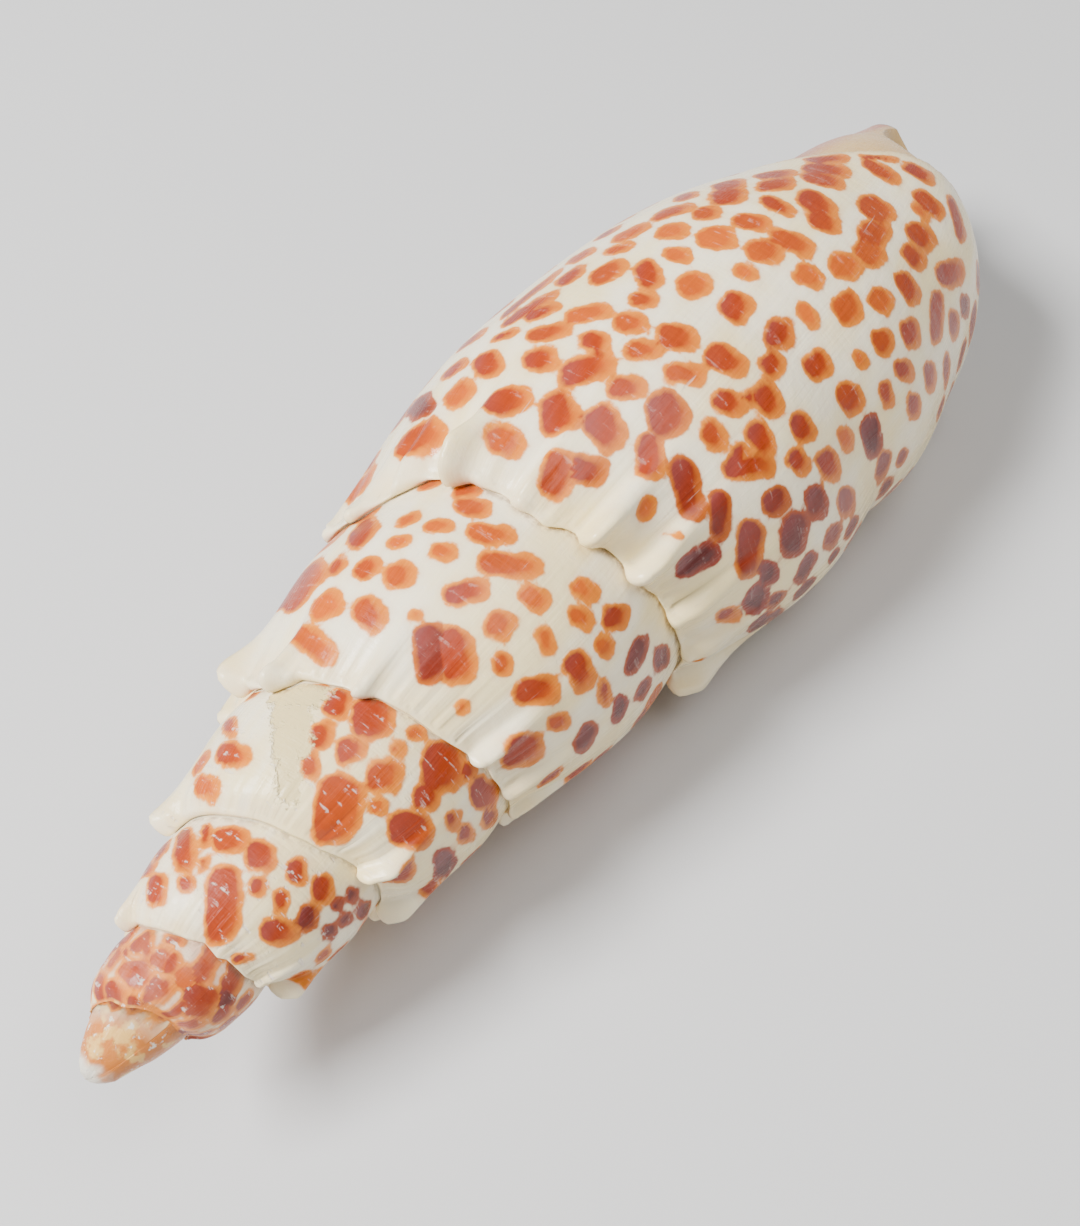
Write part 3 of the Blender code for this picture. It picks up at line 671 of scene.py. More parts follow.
def outer_surface():
    """Turn, distance from the pole and radius of each vertex, and the faces, before the shell is hollowed."""
    last = round(TURNS * PER_TURN)
    turns = np.arange(last + 1) / PER_TURN - TURNS
    fine_from = round((TURNS + FINE_FROM_TURN) * PER_TURN)
    tables, ids, total = [], {}, 0

    def add(key, turn, along, radius):
        nonlocal total
        count = along.size
        tables.append((np.broadcast_to(turn, along.shape).ravel(), along.ravel(), radius.ravel()))
        ids[key] = np.arange(total, total + count).reshape(along.shape)
        total += count

    coarse, fine, front = turns[:fine_from], turns[fine_from:], turns[last - PER_TURN :]
    for key, part, count in (("coarse", coarse, FINE_ROWS // 2), ("fine", fine, FINE_ROWS)):
        along, radius = whorl_rows(part, count)
        add(key, part[:, None], along, radius)
    along, radius = front_rows(front)
    add("front", front[:, None], along, radius)
    add("end", 0.0, np.array([END_FROM_POLE + END_CAP_HEIGHT]), np.array([0.0]))
    add("tip", -TURNS, np.array([APEX_FROM_POLE]), np.array([0.0]))
    first_turn = turns[: PER_TURN + 1]
    seam_along, seam_radius = (value[:, None] for value in seam_place(first_turn))
    ring = np.array(APEX_RINGS)[None, :]
    dome_along = APEX_FROM_POLE + (seam_along - APEX_FROM_POLE) * ring**2
    add("apex", first_turn[:, None], dome_along, seam_radius * ring)

    columns = [list(column) for column in (*ids["coarse"], *ids["fine"])]
    seams = [column[0] for column in columns]
    front_ids = [list(column) for column in ids["front"]]
    front_ids[0][0] = seams[last]
    end, tip = ids["end"][0], ids["tip"][0]
    faces = []

    def add_strip(here, after):
        faces.extend((here[row], after[row], after[row + 1], here[row + 1]) for row in range(len(here) - 1))

    for i in range(last):
        here, after = columns[i], columns[i + 1]
        if i < last - PER_TURN:
            here, after = [*here, seams[i + PER_TURN]], [*after, seams[i + 1 + PER_TURN]]
        else:
            k = i - (last - PER_TURN)
            here, after = [*here, *front_ids[k]], [*after, *front_ids[k + 1]]
            faces.append((here[-1], after[-1], end))
        if i == fine_from - 1:
            arc = len(RIM_ARC)
            add_strip(here[: arc + 1], after[: arc + 1])
            for row in range(arc, len(here) - 1):
                k = arc + 2 * (row - arc)
                faces.append((here[row], after[k], after[k + 1], after[k + 2], here[row + 1]))
            continue
        add_strip(here, after)
    lip, base = front_ids[-1], front_ids[0]
    edge = [*columns[last][1:], lip[0]]
    faces.extend((base[0], edge[row], edge[row + 1]) for row in range(len(edge) - 1))
    add_strip(base, lip)
    faces.append((base[-1], lip[-1], end))
    apex = [[*row, seams[i]] for i, row in enumerate(ids["apex"])]
    for i in range(PER_TURN):
        here, after = apex[i], apex[i + 1]
        faces.append((tip, after[0], here[0]))
        add_strip(here, after)
    faces.append((tip, *apex[0][:-1], *columns[0], *reversed(apex[PER_TURN])))
    turn, along, radius = (np.concatenate([table[k] for table in tables]) for k in range(3))
    return turn, along, radius, faces


def add_mesh(name, points, faces):
    """A new object of these points and faces, with its normals facing out."""
    mesh = bpy.data.meshes.new(name)
    mesh.from_pydata([tuple(point) for point in points], [], faces)
    work = bmesh.new()
    work.from_mesh(mesh)
    bmesh.ops.recalc_face_normals(work, faces=work.faces)
    work.to_mesh(mesh)
    work.free()
    made = bpy.data.objects.new(name, mesh)
    bpy.context.scene.collection.objects.link(made)
    return made


def tree_of(points):
    """A search tree of points."""
    tree = kdtree.KDTree(len(points))
    for k, point in enumerate(points):
        tree.insert(point, k)
    tree.balance()
    return tree


def surface_radius(turn, along):
    """Radius of the outer face of any whorl, folds left out."""
    return face_radius(turn, np.minimum(along, np.where(turn < -1, rim_at(turn + 1), END_FROM_POLE)))


def surface_steps(turn, along):
    """Radius, and length of a step along the whorl for each millimetre along the axis."""
    steps = (0, -SLOPE_STEP, SLOPE_STEP)
    radius, before, after = (float(surface_radius(turn, along + step)) for step in steps)
    slope = (after - before) / (2 * SLOPE_STEP)
    return radius, math.sqrt(1 + min(slope**2, STEEPEST**2))


def pixel_map(turn, along):
    """How far the photograph's pixels move for a millimetre around the whorl and for one along it."""
    radius, stretch = surface_steps(turn, along)
    around, ahead = MAP_STEP / (TAU * radius), MAP_STEP / stretch
    turns = np.array((turn + around, turn - around, turn, turn))
    alongs = np.array((along, along, along + ahead, along - ahead))
    pixels, _ = photo_pixels(place(turns, alongs, surface_radius(turns, alongs)))
    return np.column_stack([pixels[0] - pixels[1], pixels[2] - pixels[3]]) / (2 * MAP_STEP)


class SeenSurface:
    """The part of the shell's surface that the photograph shows, to find what is at a pixel."""

    def __init__(self, points, normals, turn, along):
        self.pixels, self.depth = photo_pixels(points)
        to_camera = np.array(CAMERA_PLACE) * MM - points
        facing = (normals * to_camera).sum(axis=1) / np.linalg.norm(to_camera, axis=1)
        self.facing, self.turn, self.along = facing, turn, along
        self.ids = np.flatnonzero(facing > SEEN_FACING)
        self.tree = tree_of([(*pixel, 0.0) for pixel in self.pixels[self.ids]])

    def at(self, x, y):
        """Turn and distance from the pole of the nearest surface at a pixel."""
        for reach in SEARCH_REACHES:
            near = [self.ids[k] for _, k, _ in self.tree.find_range((x, y, 0.0), reach)]
            if near:
                break
        near = np.array(near)
        near = near[self.depth[near] < self.depth[near].min() + SAME_DEPTH * MM]
        off = np.hypot(self.pixels[near, 0] - x, self.pixels[near, 1] - y)
        best = near[off.argmin()]
        turn, along = self.turn[best], self.along[best]
        to_surface = np.linalg.pinv(pixel_map(turn, along), rcond=FLATTEST_PLACE)
        step = np.clip(to_surface @ (np.array((x, y)) - self.pixels[best]), -FARTHEST_STEP, FARTHEST_STEP)
        radius, stretch = surface_steps(turn, along)
        return turn + step[0] / (TAU * radius), along + step[1] / stretch


def seen_spot(surface, x1, y1, x2, y2, width):
    """Turn, distance from the pole and shape on the surface of a spot that spans these pixels."""
    middle = np.array(((x1 + x2) / 2, (y1 + y2) / 2))
    turn, along = surface.at(*middle)
    half = np.array((x2 - x1, y2 - y1)) / 2
    length = max(np.hypot(*half), 1.0)
    across = np.array((-half[1], half[0])) / length * width / 2
    shape = np.linalg.pinv(pixel_map(turn, along), rcond=FLATTEST_SPOT) @ np.column_stack([half, across])
    left, sizes, right = np.linalg.svd(shape)
    return turn, along, left @ np.diag(np.clip(sizes, SPOT_LEAST, SPOT_MOST)) @ right


def hidden_spots(surface, seen):
    """Seeded spots for the sides that the photograph doesn't show, in staggered rows."""
    rng = np.random.default_rng(SEED + 1)
    tree = tree_of(place(surface.turn, surface.along, surface_radius(surface.turn, surface.along)))
    seen_turns, seen_alongs = (np.array([spot[k] for spot in seen]) for k in range(2))
    seen_places = place(seen_turns, seen_alongs, surface_radius(seen_turns, seen_alongs))
    found = []
    for whorl in range(int(TURNS) + 1):
        middle = -whorl - 0.5
        scale = float(size_at(middle)) ** HIDDEN_SHRINK
        spacing = HIDDEN_SPACING * scale
        for row, past_rim in enumerate(np.arange(0.0, END_FROM_POLE, spacing * HIDDEN_ROW_SHARE)):
            ring = TAU * float(surface_radius(middle, past_rim + rim_at(middle)))
            for turn in np.arange(0, 1, spacing / ring) + (row % 2) * spacing / ring / 2 - 1 - whorl:
                turn = turn + rng.uniform(-UNEVEN_TURN, UNEVEN_TURN) * spacing / ring
                start = rim_at(turn) + BARE_BY_RIM * size_at(turn) + BARE_BY_SPOT * scale
                stop = rim_at(turn + 1) - BARE_BY_SEAM * size_at(turn)
                if whorl == 0:
                    stop = END_FROM_POLE - BARE_BY_END
                along = start + past_rim + rng.uniform(-UNEVEN_ALONG, UNEVEN_ALONG) * spacing
                if not (-TURNS < turn < -LIP_MARGIN_TURNS and along < stop):
                    continue
                here = place(turn, along, surface_radius(turn, along)).ravel()
                facing = surface.facing[tree.find(here)[1]]
                clear = np.linalg.norm(seen_places - here, axis=1).min() > EDGE_GAP * spacing * MM
                if facing > EDGE_FACING or (facing > HIDDEN_FACING and not clear):
                    continue
                half = rng.uniform(*HIDDEN_HALF_SIZES, 2) * scale
                angle = rng.uniform(-HIDDEN_SLANT, HIDDEN_SLANT)
                spin = np.array(((math.cos(angle), -math.sin(angle)), (math.sin(angle), math.cos(angle))))
                found.append((turn, along, spin @ np.diag(half * HIDDEN_SHAPE), rng.uniform(*HIDDEN_TONES)))
    return found


def dense_spots():
    """Seeded blocks that nearly fill the ground of the fifth whorl."""
    rng = np.random.default_rng(SEED + 2)
    found = []
    low, high = DENSE_TURNS
    for along in np.arange(float(rim_at(low)), float(rim_at(high + 1)), DENSE_SPACING):
        radius = float(surface_radius((low + high) / 2, along))
        turn = low + rng.uniform(0, DENSE_START)
        while turn < high:
            width = rng.uniform(*DENSE_WIDTHS) * DENSE_SPACING
            reach = width / (TAU * radius)
            if float(rim_at(turn)) < along < float(rim_at(turn + 1)):
                half = np.diag((DENSE_HALF_WIDTH * width, rng.uniform(*DENSE_HALF_LENGTHS) * DENSE_SPACING))
                middle = along + rng.uniform(-DENSE_UNEVEN, DENSE_UNEVEN)
                found.append((turn + reach / 2, middle, half, rng.uniform(*DENSE_TONES)))
            turn += reach * rng.uniform(*DENSE_STEPS)
    return found


def spot_field(turn, along, spots):
    """Millimetres outside the nearest spot, its tone, and how far towards its front side, at each vertex."""
    order = np.argsort(turn, kind="stable")
    turns, alongs = turn[order], along[order]
    field = np.full(len(turn), SPOT_FAR)
    tone = np.zeros(len(turn))
    lead = np.zeros(len(turn))
    for spot_turn, spot_along, shape, spot_tone in spots:
        radius, stretch = surface_steps(spot_turn, spot_along)
        reach = SPOT_REACH / (TAU * radius)
        low, high = np.searchsorted(turns, (spot_turn - reach, spot_turn + reach))
        near = np.arange(low, high)[np.abs(alongs[low:high] - spot_along) < SPOT_REACH]
        step = np.stack([(turns[near] - spot_turn) * TAU * radius, (alongs[near] - spot_along) * stretch])
        inverse = np.linalg.inv(shape)
        unit = inverse @ step
        power = np.abs(unit) ** SPOT_SQUARE
        round_off = np.maximum(power.sum(axis=0) ** (1 / SPOT_SQUARE), LEAST_ROUND)
        pull = np.sign(unit) * np.abs(unit) ** (SPOT_SQUARE - 1) / round_off ** (SPOT_SQUARE - 1)
        steepness = np.maximum(np.linalg.norm(inverse.T @ pull, axis=0), LEAST_STEEPNESS)
        away = (round_off - 1) / steepness
        was = field[near]
        blend = np.clip(SPOT_MERGE - np.abs(was - away), 0, None) / SPOT_MERGE
        closer = away < was
        size = math.sqrt(abs(np.linalg.det(shape)))
        tone[near] = np.where(closer, spot_tone, tone[near])
        lead[near] = np.where(closer, (step[0] + ALONG_LEAD * step[1]) / size, lead[near])
        field[near] = np.minimum(was, away) - blend**2 * SPOT_MERGE / 4
    back = np.empty(len(turn), int)
    back[order] = np.arange(len(turn))
    return field[back], tone[back], lead[back]


def columella_lift(turn, along):
    """Height of the slanting folds on the columella."""
    fold = (along - COLUMELLA_FOLDS_FROM_POLE + COLUMELLA_FOLD_SLANT * turn) / COLUMELLA_FOLD_SPACING
    crest = np.cos(math.pi * (fold - np.round(fold))) ** 4
    inside = (fold > -0.5) & (fold < COLUMELLA_FOLDS - 0.5)
    return COLUMELLA_FOLD_HEIGHT * crest * inside


def hollow_surface():
    """Points and faces of the solid that is cut out of the last whorl, from just past the lip inwards."""
    points, faces = [], []
    size = HOLLOW_OUTER_ROWS + HOLLOW_INNER_ROWS
    for turn in np.linspace(-HOLLOW_TURNS, HOLLOW_PAST_LIP, HOLLOW_COLUMNS):
        start = rim_at(turn) + HOLLOW_CORNER * size_at(turn)
        fine = np.linspace(start, END_FROM_POLE, HOLLOW_TRIALS)
        gap = face_radius(turn, fine) - WALL - base_radius(turn, fine) - CALLUS
        open_here = fine[gap > HOLLOW_LEAST_GAP]
        out = np.linspace(open_here.min(), open_here.max(), HOLLOW_OUTER_ROWS)
        back = np.linspace(open_here.max(), open_here.min(), HOLLOW_INNER_ROWS)
        inner = base_radius(turn, back) + CALLUS
        room = np.clip(face_radius(turn, back) - WALL - inner - HOLLOW_LEAST_GAP, 0, None)
        inner = inner + np.minimum(columella_lift(turn, back), room)
        points.extend(place(turn, out, face_radius(turn, out) - WALL))
        points.extend(place(turn, back, inner))
    for first in range(0, len(points) - size, size):
        for row in range(size):
            after = (row + 1) % size
            faces.append((first + row, first + after, first + size + after, first + size + row))
    faces.append(tuple(range(size)))
    faces.append(tuple(reversed(range(len(points) - size, len(points)))))
    return points, faces


def front_cutter(name, turn, radius, half_sizes):
    """An egg-shaped solid centred on the plane of the front end."""
    work = bmesh.new()
    bmesh.ops.create_uvsphere(work, u_segments=CUT_SEGMENTS, v_segments=CUT_RINGS, radius=1.0)
    angle = math.radians(LIP_ANGLE) + TAU * turn
    scale = Matrix.Diagonal(Vector(half_sizes) * MM).to_4x4()
    middle = Vector((END_FROM_POLE - APEX_FROM_POLE, -radius * math.sin(angle), radius * math.cos(angle)))
    work.transform(LAY_DOWN @ Matrix.Translation(middle * MM) @ Matrix.Rotation(angle, 4, "X") @ scale)
    mesh = bpy.data.meshes.new(name)
    work.to_mesh(mesh)
    work.free()
    made = bpy.data.objects.new(name, mesh)
    bpy.context.scene.collection.objects.link(made)
    return made


def hollowed(solid, cutters):
    """Takes the cutters out of the solid, leaves it a clean mesh of triangles, and removes the cutters."""
    for cutter in cutters:
        boolean = solid.modifiers.new(cutter.name, "BOOLEAN")
        boolean.operation = "DIFFERENCE"
        boolean.solver = "MANIFOLD"
        boolean.object = cutter
    graph = bpy.context.evaluated_depsgraph_get()
    mesh = bpy.data.meshes.new_from_object(solid.evaluated_get(graph))
    solid.modifiers.clear()
    mesh.materials.clear()
    work = bmesh.new()
    work.from_mesh(mesh)
    bmesh.ops.remove_doubles(work, verts=work.verts, dist=MERGE_WITHIN * MM)
    bmesh.ops.dissolve_degenerate(work, edges=work.edges, dist=MERGE_WITHIN * MM)
    bmesh.ops.triangulate(work, faces=work.faces)
    work.to_mesh(mesh)
    work.free()
    solid.data = mesh
    for cutter in cutters:
        bpy.data.objects.remove(cutter)


def vertex_array(mesh, what="co"):
    """The places of a mesh's vertices, or their normals."""
    flat = np.empty(len(mesh.vertices) * 3, np.float32)
    mesh.vertices.foreach_get(what, flat)
    return flat.reshape(-1, 3).astype(float)


def set_attribute(mesh, name, values):
    """Keeps one number for each vertex, which the material reads by this name."""
    layer = mesh.attributes.new(name, "FLOAT", "POINT")
    layer.data.foreach_set("value", np.asarray(values, np.float32))


def shell_piece():
    """The hollow shell, with the numbers that its material reads at each vertex."""
    turn, along, radius, faces = outer_surface()
    points = place(turn, along, radius)
    points[:, 2] = np.maximum(points[:, 2], GROUND_GAP * MM)
    shell = add_mesh("shell_skin", points, faces)
    hollow = add_mesh("hollow_cutter", *hollow_surface())
    inner_tree = tree_of(vertex_array(hollow.data))
    surface = SeenSurface(points, vertex_array(shell.data, "normal"), turn, along)
    seen = [
        (*seen_spot(surface, *spot[:5]), spot[5]) for spot in (*BODY_SPOTS, *WHORL_SPOTS, *SPIRE_SPOTS)
    ]
    spot, tone, lead = spot_field(turn, along, [*seen, *hidden_spots(surface, seen), *dense_spots()])
    patches = [(*seen_spot(surface, *patch), 1.0) for patch in SCAR_PATCHES]
    scar, _, _ = spot_field(turn, along, patches)
    from_rim = (along - rim_at(turn)) / size_at(turn)
    to_seam = np.where(turn < -1, seam_place(turn + 1)[0] - SEAM_TUCK * size_at(turn + 1) - along, SPOT_FAR)
    dome = (turn < 1 + SAME_TURN - TURNS) & (along < seam_place(turn)[0] - SAME_PLACE)
    apex = np.maximum(dome, np.clip((APEX_TO_TURN - turn) / APEX_BLEND, 0, 1))
    margin = np.where(turn > MARGIN_FROM_TURN, past_margin(turn, along), -SPOT_FAR)
    values = {
        "turn": turn, "along": along, "spot": spot, "tone": tone, "lead": lead, "scar": scar,
        "from_rim": from_rim, "to_seam": to_seam, "apex": apex, "margin": margin,
    }
    hollowed(shell, [hollow, *(front_cutter(*numbers) for numbers in FRONT_CUTS)])
    mesh = shell.data
    found = vertex_array(mesh)
    tree = tree_of(points)
    index = np.empty(len(found), int)
    inside = np.zeros(len(found))
    for k, point in enumerate(found):
        _, index[k], off = tree.find(point)
        _, _, inner_off = inner_tree.find(point)
        inside[k] = inner_off < off
    for name, value in values.items():
        set_attribute(mesh, name, value[index])
    set_attribute(mesh, "inside", inside)
    mesh.shade_smooth()
    return shell


class Nodes:
    """Short ways to build a shader's nodes."""

    def __init__(self, tree):
        self.tree = tree

    def node(self, kind, inputs=None, **settings):
        made = self.tree.nodes.new(kind)
        for name, value in settings.items():
            setattr(made, name, value)
        for socket, value in (inputs or {}).items():
            self.put(made.inputs[socket], value)
        return made

    def put(self, socket, value):
        if isinstance(value, bpy.types.NodeSocket):
            self.tree.links.new(value, socket)
        elif isinstance(value, tuple) and len(value) == 3 and socket.type == "RGBA":
            socket.default_value = (*value, 1.0)
        else:
            socket.default_value = value

    def value(self, name):
        return self.node("ShaderNodeAttribute", attribute_name=name).outputs["Fac"]

    def math(self, operation, first, second=0.0, third=0.0):
        return self.node("ShaderNodeMath", {0: first, 1: second, 2: third}, operation=operation).outputs[0]

    def times(self, first, second):
        return self.math("MULTIPLY", first, second)

    def plus(self, first, second):
        return self.math("ADD", first, second)

    def uneven(self, value, noise, amount):
        """The value, moved up or down by a noise."""
        return self.math("MULTIPLY_ADD", self.math("SUBTRACT", noise, 0.5), amount, value)

    def streaks(self, turn, rate, along, stretch, seed, detail, roughness=0.5):
        """A noise that is stretched along the shell or around it."""
        place = self.vector(self.times(turn, rate), self.times(along, stretch), seed)
        return self.noise(place, 1.0, detail, roughness)

    def ramp(self, value, low, high, start=0.0, end=1.0, smooth=True):
        kind = "SMOOTHSTEP" if smooth else "LINEAR"
        names = {"Value": value, "From Min": low, "From Max": high, "To Min": start, "To Max": end}
        return self.node("ShaderNodeMapRange", names, interpolation_type=kind).outputs[0]

    def mix(self, share, first, second):
        made = self.node("ShaderNodeMix", data_type="RGBA")
        self.put(made.inputs[0], share)
        self.put(made.inputs[6], first)
        self.put(made.inputs[7], second)
        return made.outputs[2]

    def noise(self, vector, scale, detail=2.0, roughness=0.5):
        names = {"Vector": vector, "Scale": scale, "Detail": detail, "Roughness": roughness}
        return self.node("ShaderNodeTexNoise", names).outputs[0]

    def vector(self, x, y, z):
        return self.node("ShaderNodeCombineXYZ", {0: x, 1: y, 2: z}).outputs[0]


def shell_material():
    """Glossy shell like porcelain: spots with an orange fringe on cream, growth lines, a worn pink spire."""
    material = bpy.data.materials.new("porcelain_shell")
    material.use_nodes = True
    nodes = Nodes(material.node_tree)
    shader = material.node_tree.nodes["Principled BSDF"]
    places = nodes.node("ShaderNodeTexCoord").outputs["Object"]
    turn, along, spot = nodes.value("turn"), nodes.value("along"), nodes.value("spot")
    tone, lead, inside = nodes.value("tone"), nodes.value("lead"), nodes.value("inside")
    from_rim, to_seam, scar = nodes.value("from_rim"), nodes.value("to_seam"), nodes.value("scar")

    broad = nodes.noise(places, 90.0, 3.0)
    middle = nodes.noise(places, 420.0, 2.0)
    fine = nodes.noise(places, 1500.0, 3.0, 0.6)
    grain = nodes.noise(places, 5200.0, 2.0)
    lines = nodes.streaks(turn, 330.0, along, 0.10, 0.0, 4.0, 0.65)
    bands = nodes.streaks(turn, 34.0, along, 0.03, 5.0, 2.0)
    spiral = nodes.streaks(turn, 16.0, along, 1.7, 2.0, 3.0, 0.6)

    # Ground: white to cream in patches, yellower below each rim, pink on the early whorls.
    patches = nodes.ramp(nodes.plus(nodes.times(broad, 0.65), nodes.times(bands, 0.35)), 0.42, 0.6)
    ground = nodes.mix(patches, WHITE, CREAM)
    shoulder = nodes.times(nodes.ramp(from_rim, 5.5, 0.6), nodes.ramp(middle, 0.30, 0.7, 0.35, 1.0))
    ground = nodes.mix(nodes.times(shoulder, 0.5), ground, SHOULDER)
    edge_white = nodes.ramp(from_rim, 0.2, -1.6)
    ground = nodes.mix(nodes.times(edge_white, 0.5), ground, WHITE)
    early = nodes.ramp(turn, -3.1, -4.6)
    pinkness = nodes.times(early, nodes.ramp(middle, 0.38, 0.62))
    ground = nodes.mix(nodes.times(pinkness, 0.75), ground, PINK)

    # Spots: an uneven edge, a light fringe on the side grown last, a purple side grown first.
    ragged = nodes.uneven(spot, middle, 1.25)
    ragged = nodes.uneven(ragged, fine, 0.35)
    halo = nodes.ramp(ragged, 0.9, 0.1)
    ground = nodes.mix(nodes.times(halo, 0.26), ground, HALO)
    mask = nodes.ramp(ragged, 0.36, 0.10)
    fringe_wide = nodes.ramp(lead, -0.6, 1.3, 0.35, 1.5)
    narrower = nodes.ramp(turn, -1.0, -4.5, 1.0, 2.2, smooth=False)
    depth = nodes.times(nodes.math("DIVIDE", ragged, fringe_wide), narrower)
    core = nodes.ramp(depth, 0.25, -0.75, smooth=False)
    # Higher tones turn the spots red, then maroon; on the lower right side they are partly painted shade.
    bright = nodes.plus(tone, nodes.times(nodes.math("SUBTRACT", broad, 0.5), 0.5))
    body = nodes.mix(nodes.ramp(bright, -0.10, 0.42), ORANGE, RED)
    body = nodes.mix(nodes.ramp(bright, 0.5, 1.0), body, MAROON)
    side = nodes.times(nodes.ramp(lead, 0.1, -1.1), nodes.ramp(bright, 0.2, 0.55))
    body = nodes.mix(nodes.times(side, 0.5), body, PURPLE)
    front = nodes.times(nodes.ramp(lead, 0.1, 1.2), nodes.ramp(bright, 0.95, 0.4))
    body = nodes.mix(nodes.times(front, 0.7), body, ORANGE)
    rim_colour = nodes.mix(nodes.ramp(tone, 0.55, 1.0), FRINGE, RED)
    spots = nodes.mix(core, rim_colour, body)
    mottled = nodes.plus(nodes.times(lines, 0.5), nodes.times(spiral, 0.5))
    mottled = nodes.ramp(mottled, 0.36, 0.66, 0.92, 1.08)
    spots = nodes.node("ShaderNodeVectorMath", {0: spots, "Scale": mottled}, operation="SCALE").outputs[0]
    faded = nodes.times(early, nodes.ramp(middle, 0.35, 0.65, 0.0, 0.22))
    spots = nodes.mix(faded, spots, WORN_SPOT)
    colour = nodes.mix(mask, ground, spots)

    # Pale scratches and worn pits over the spots, more of them on the spire.
    worn = nodes.times(nodes.ramp(spiral, 0.55, 0.66), nodes.ramp(fine, 0.50, 0.60))
    worn = nodes.times(worn, nodes.ramp(turn, -1.2, -3.2, 0.2, 1.0))
    scratches = nodes.times(nodes.ramp(lines, 0.64, 0.70), nodes.ramp(middle, 0.5, 0.6))
    chips = nodes.math("MAXIMUM", worn, nodes.times(scratches, 0.45))
    colour = nodes.mix(nodes.times(chips, 0.75), colour, PIT_PALE)

    # Scar, worn apex, painted shade in the seams under the rims, and the inside.
    torn = nodes.uneven(scar, fine, 2.2)
    colour = nodes.mix(nodes.ramp(torn, 0.2, -0.3), colour, SCAR_YELLOW)
    blotches = nodes.ramp(nodes.noise(places, 700.0, 3.0), 0.53, 0.64)
    tip = nodes.mix(blotches, APEX_ORANGE, APEX_YELLOW)
    tip = nodes.mix(nodes.ramp(fine, 0.60, 0.70), tip, APEX_WHITE)
    colour = nodes.mix(nodes.value("apex"), colour, tip)
    bald = nodes.ramp(nodes.uneven(along, middle, 3.0), 17.0, 16.0)
    colour = nodes.mix(bald, colour, APEX_WHITE)
    past = nodes.uneven(nodes.value("margin"), middle, 0.8)
    colour = nodes.mix(nodes.ramp(past, -1.3, -0.1), colour, MARGIN_TAN)
    floor = nodes.mix(nodes.ramp(turn, -0.36, -0.43), CANAL_YELLOW, CANAL_RED)
    floor = nodes.mix(nodes.ramp(turn, -0.50, -0.60), floor, CANAL_CREAM)
    colour = nodes.mix(nodes.ramp(past, 0.15, 0.5), colour, floor)
    # Painted shade: the seams under the overhanging rims are darkened, in patches.
    seam = nodes.times(nodes.ramp(to_seam, 0.75, 0.0), nodes.ramp(fine, 0.35, 0.62))
    colour = nodes.mix(nodes.times(seam, 0.55), colour, SEAM_SHADE)
    within = nodes.mix(nodes.ramp(middle, 0.3, 0.7), INSIDE_YELLOW, INSIDE_CREAM)
    colour = nodes.mix(inside, colour, within)
    nodes.put(shader.inputs["Base Color"], colour)

    rough = nodes.plus(nodes.times(middle, 0.5), nodes.times(lines, 0.5))
    rough = nodes.ramp(rough, 0.35, 0.65, *ROUGHNESS)
    rough = nodes.plus(rough, nodes.times(chips, 0.2))
    nodes.put(shader.inputs["Roughness"], rough)
    nodes.put(shader.inputs["Specular IOR Level"], SPECULAR)
    nodes.put(shader.inputs["Coat Weight"], COAT)
    nodes.put(shader.inputs["Coat Roughness"], COAT_ROUGHNESS)
    nodes.put(shader.inputs["Subsurface Weight"], SUBSURFACE)
    nodes.put(shader.inputs["Subsurface Radius"], SUBSURFACE_RADII)

    # Fine relief, in millimetres.
    pitted = nodes.ramp(turn, -1.0, -3.0, 0.03, 0.09)
    height = nodes.times(lines, 0.05)
    for value, amount in (
        (spiral, pitted), (middle, 0.10), (fine, 0.02), (chips, -0.06), (mask, 0.02), (grain, 0.004),
        (nodes.ramp(torn, 0.2, -0.3), -0.15),
    ):
        height = nodes.math("MULTIPLY_ADD", value, amount, height)
    bump = nodes.node("ShaderNodeBump", {"Height": height, "Distance": MM, "Strength": 1.0})
    nodes.put(shader.inputs["Normal"], bump.outputs["Normal"])
    return material


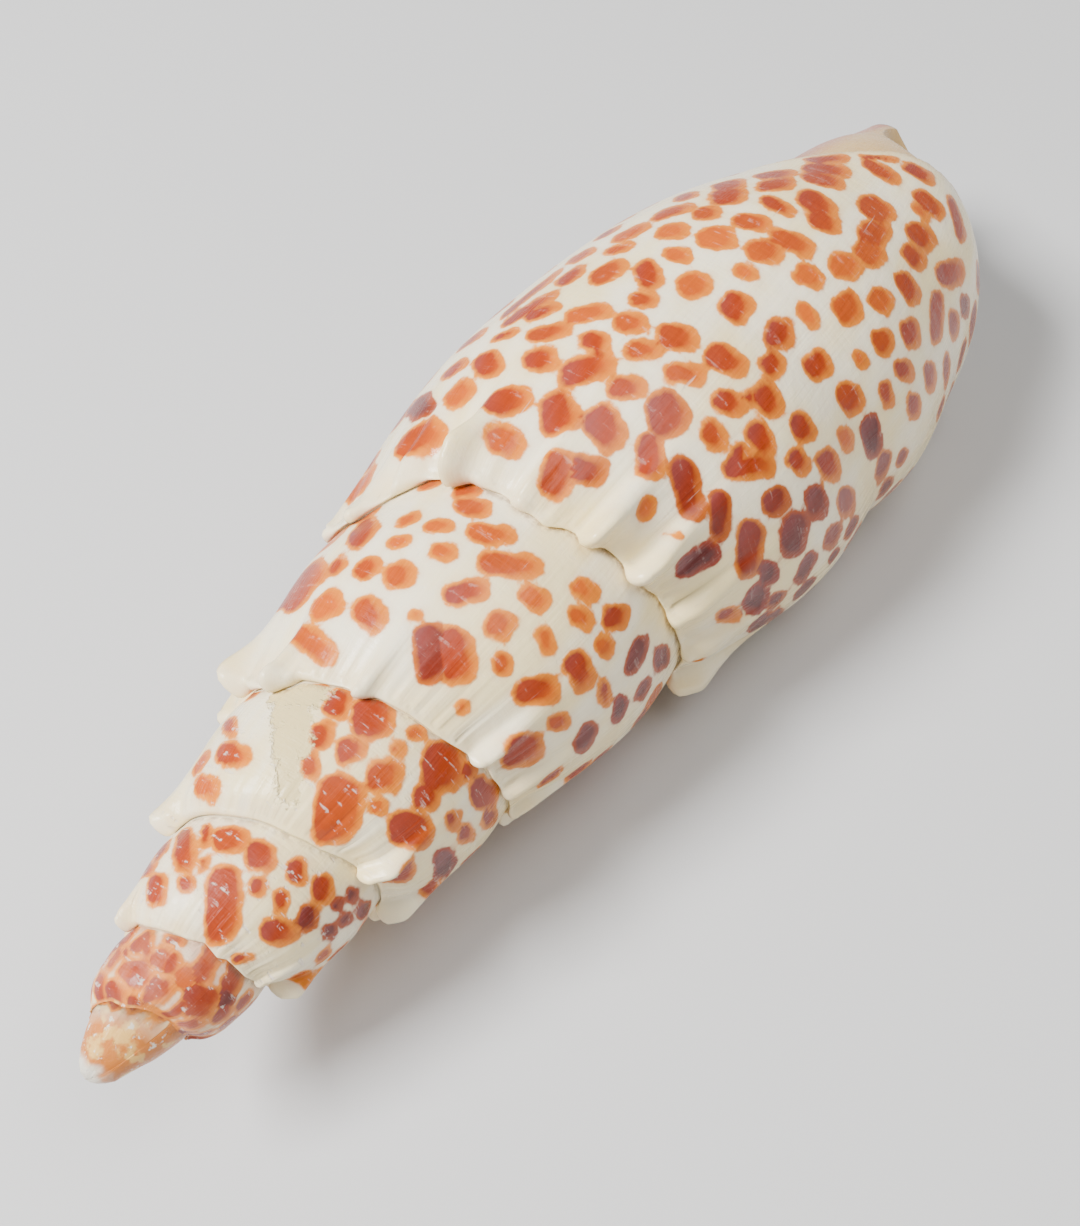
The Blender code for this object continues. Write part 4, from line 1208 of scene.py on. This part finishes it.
def floor_piece():
    """A plain pale floor, which belongs to the stage."""
    mesh = bpy.data.meshes.new("floor")
    corners = [(x * FLOOR_HALF, y * FLOOR_HALF, 0) for x, y in ((-1, -1), (1, -1), (1, 1), (-1, 1))]
    mesh.from_pydata(corners, [], [(0, 1, 2, 3)])
    floor = bpy.data.objects.new("floor", mesh)
    bpy.context.scene.collection.objects.link(floor)
    material = bpy.data.materials.new("floor")
    material.use_nodes = True
    shader = material.node_tree.nodes["Principled BSDF"]
    shader.inputs["Base Color"].default_value = (FLOOR_GREY, FLOOR_GREY, FLOOR_GREY, 1.0)
    shader.inputs["Roughness"].default_value = FLOOR_ROUGHNESS
    mesh.materials.append(material)


def area_light(name, location, size, power):
    """A rectangular light that faces the shell."""
    light = bpy.data.lights.new(name, "AREA")
    light.shape = "RECTANGLE"
    light.size, light.size_y = size
    light.energy = power
    made = bpy.data.objects.new(name, light)
    made.location = location
    made.rotation_euler = (Vector(LIGHT_TARGET) - Vector(location)).to_track_quat("-Z", "Y").to_euler()
    bpy.context.scene.collection.objects.link(made)


def studio():
    """The surroundings, the lights and the camera of the photograph."""
    world = bpy.data.worlds.new("studio")
    bpy.context.scene.world = world
    world.use_nodes = True
    background = world.node_tree.nodes["Background"]
    background.inputs["Color"].default_value = (*WORLD_COLOUR, 1.0)
    background.inputs["Strength"].default_value = WORLD_STRENGTH
    for light in LIGHTS:
        area_light(*light)
    camera = bpy.data.cameras.new("camera")
    camera.sensor_width = SENSOR_SIDE
    camera.lens = PHOTO_FOCAL_PIXELS / max(PHOTO_SIZE) * SENSOR_SIDE
    camera.clip_start = CAMERA_NEAR
    made = bpy.data.objects.new("camera", camera)
    made.location = Vector(CAMERA_PLACE) * MM
    made.rotation_euler = [math.radians(a) for a in CAMERA_TURN]
    bpy.context.scene.collection.objects.link(made)
    bpy.context.scene.camera = made


def main():
    """Builds the shell and the stage."""
    shell = shell_piece()
    shell.data.materials.append(shell_material())
    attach(shell, "root")
    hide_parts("shell")
    floor_piece()
    studio()


main()
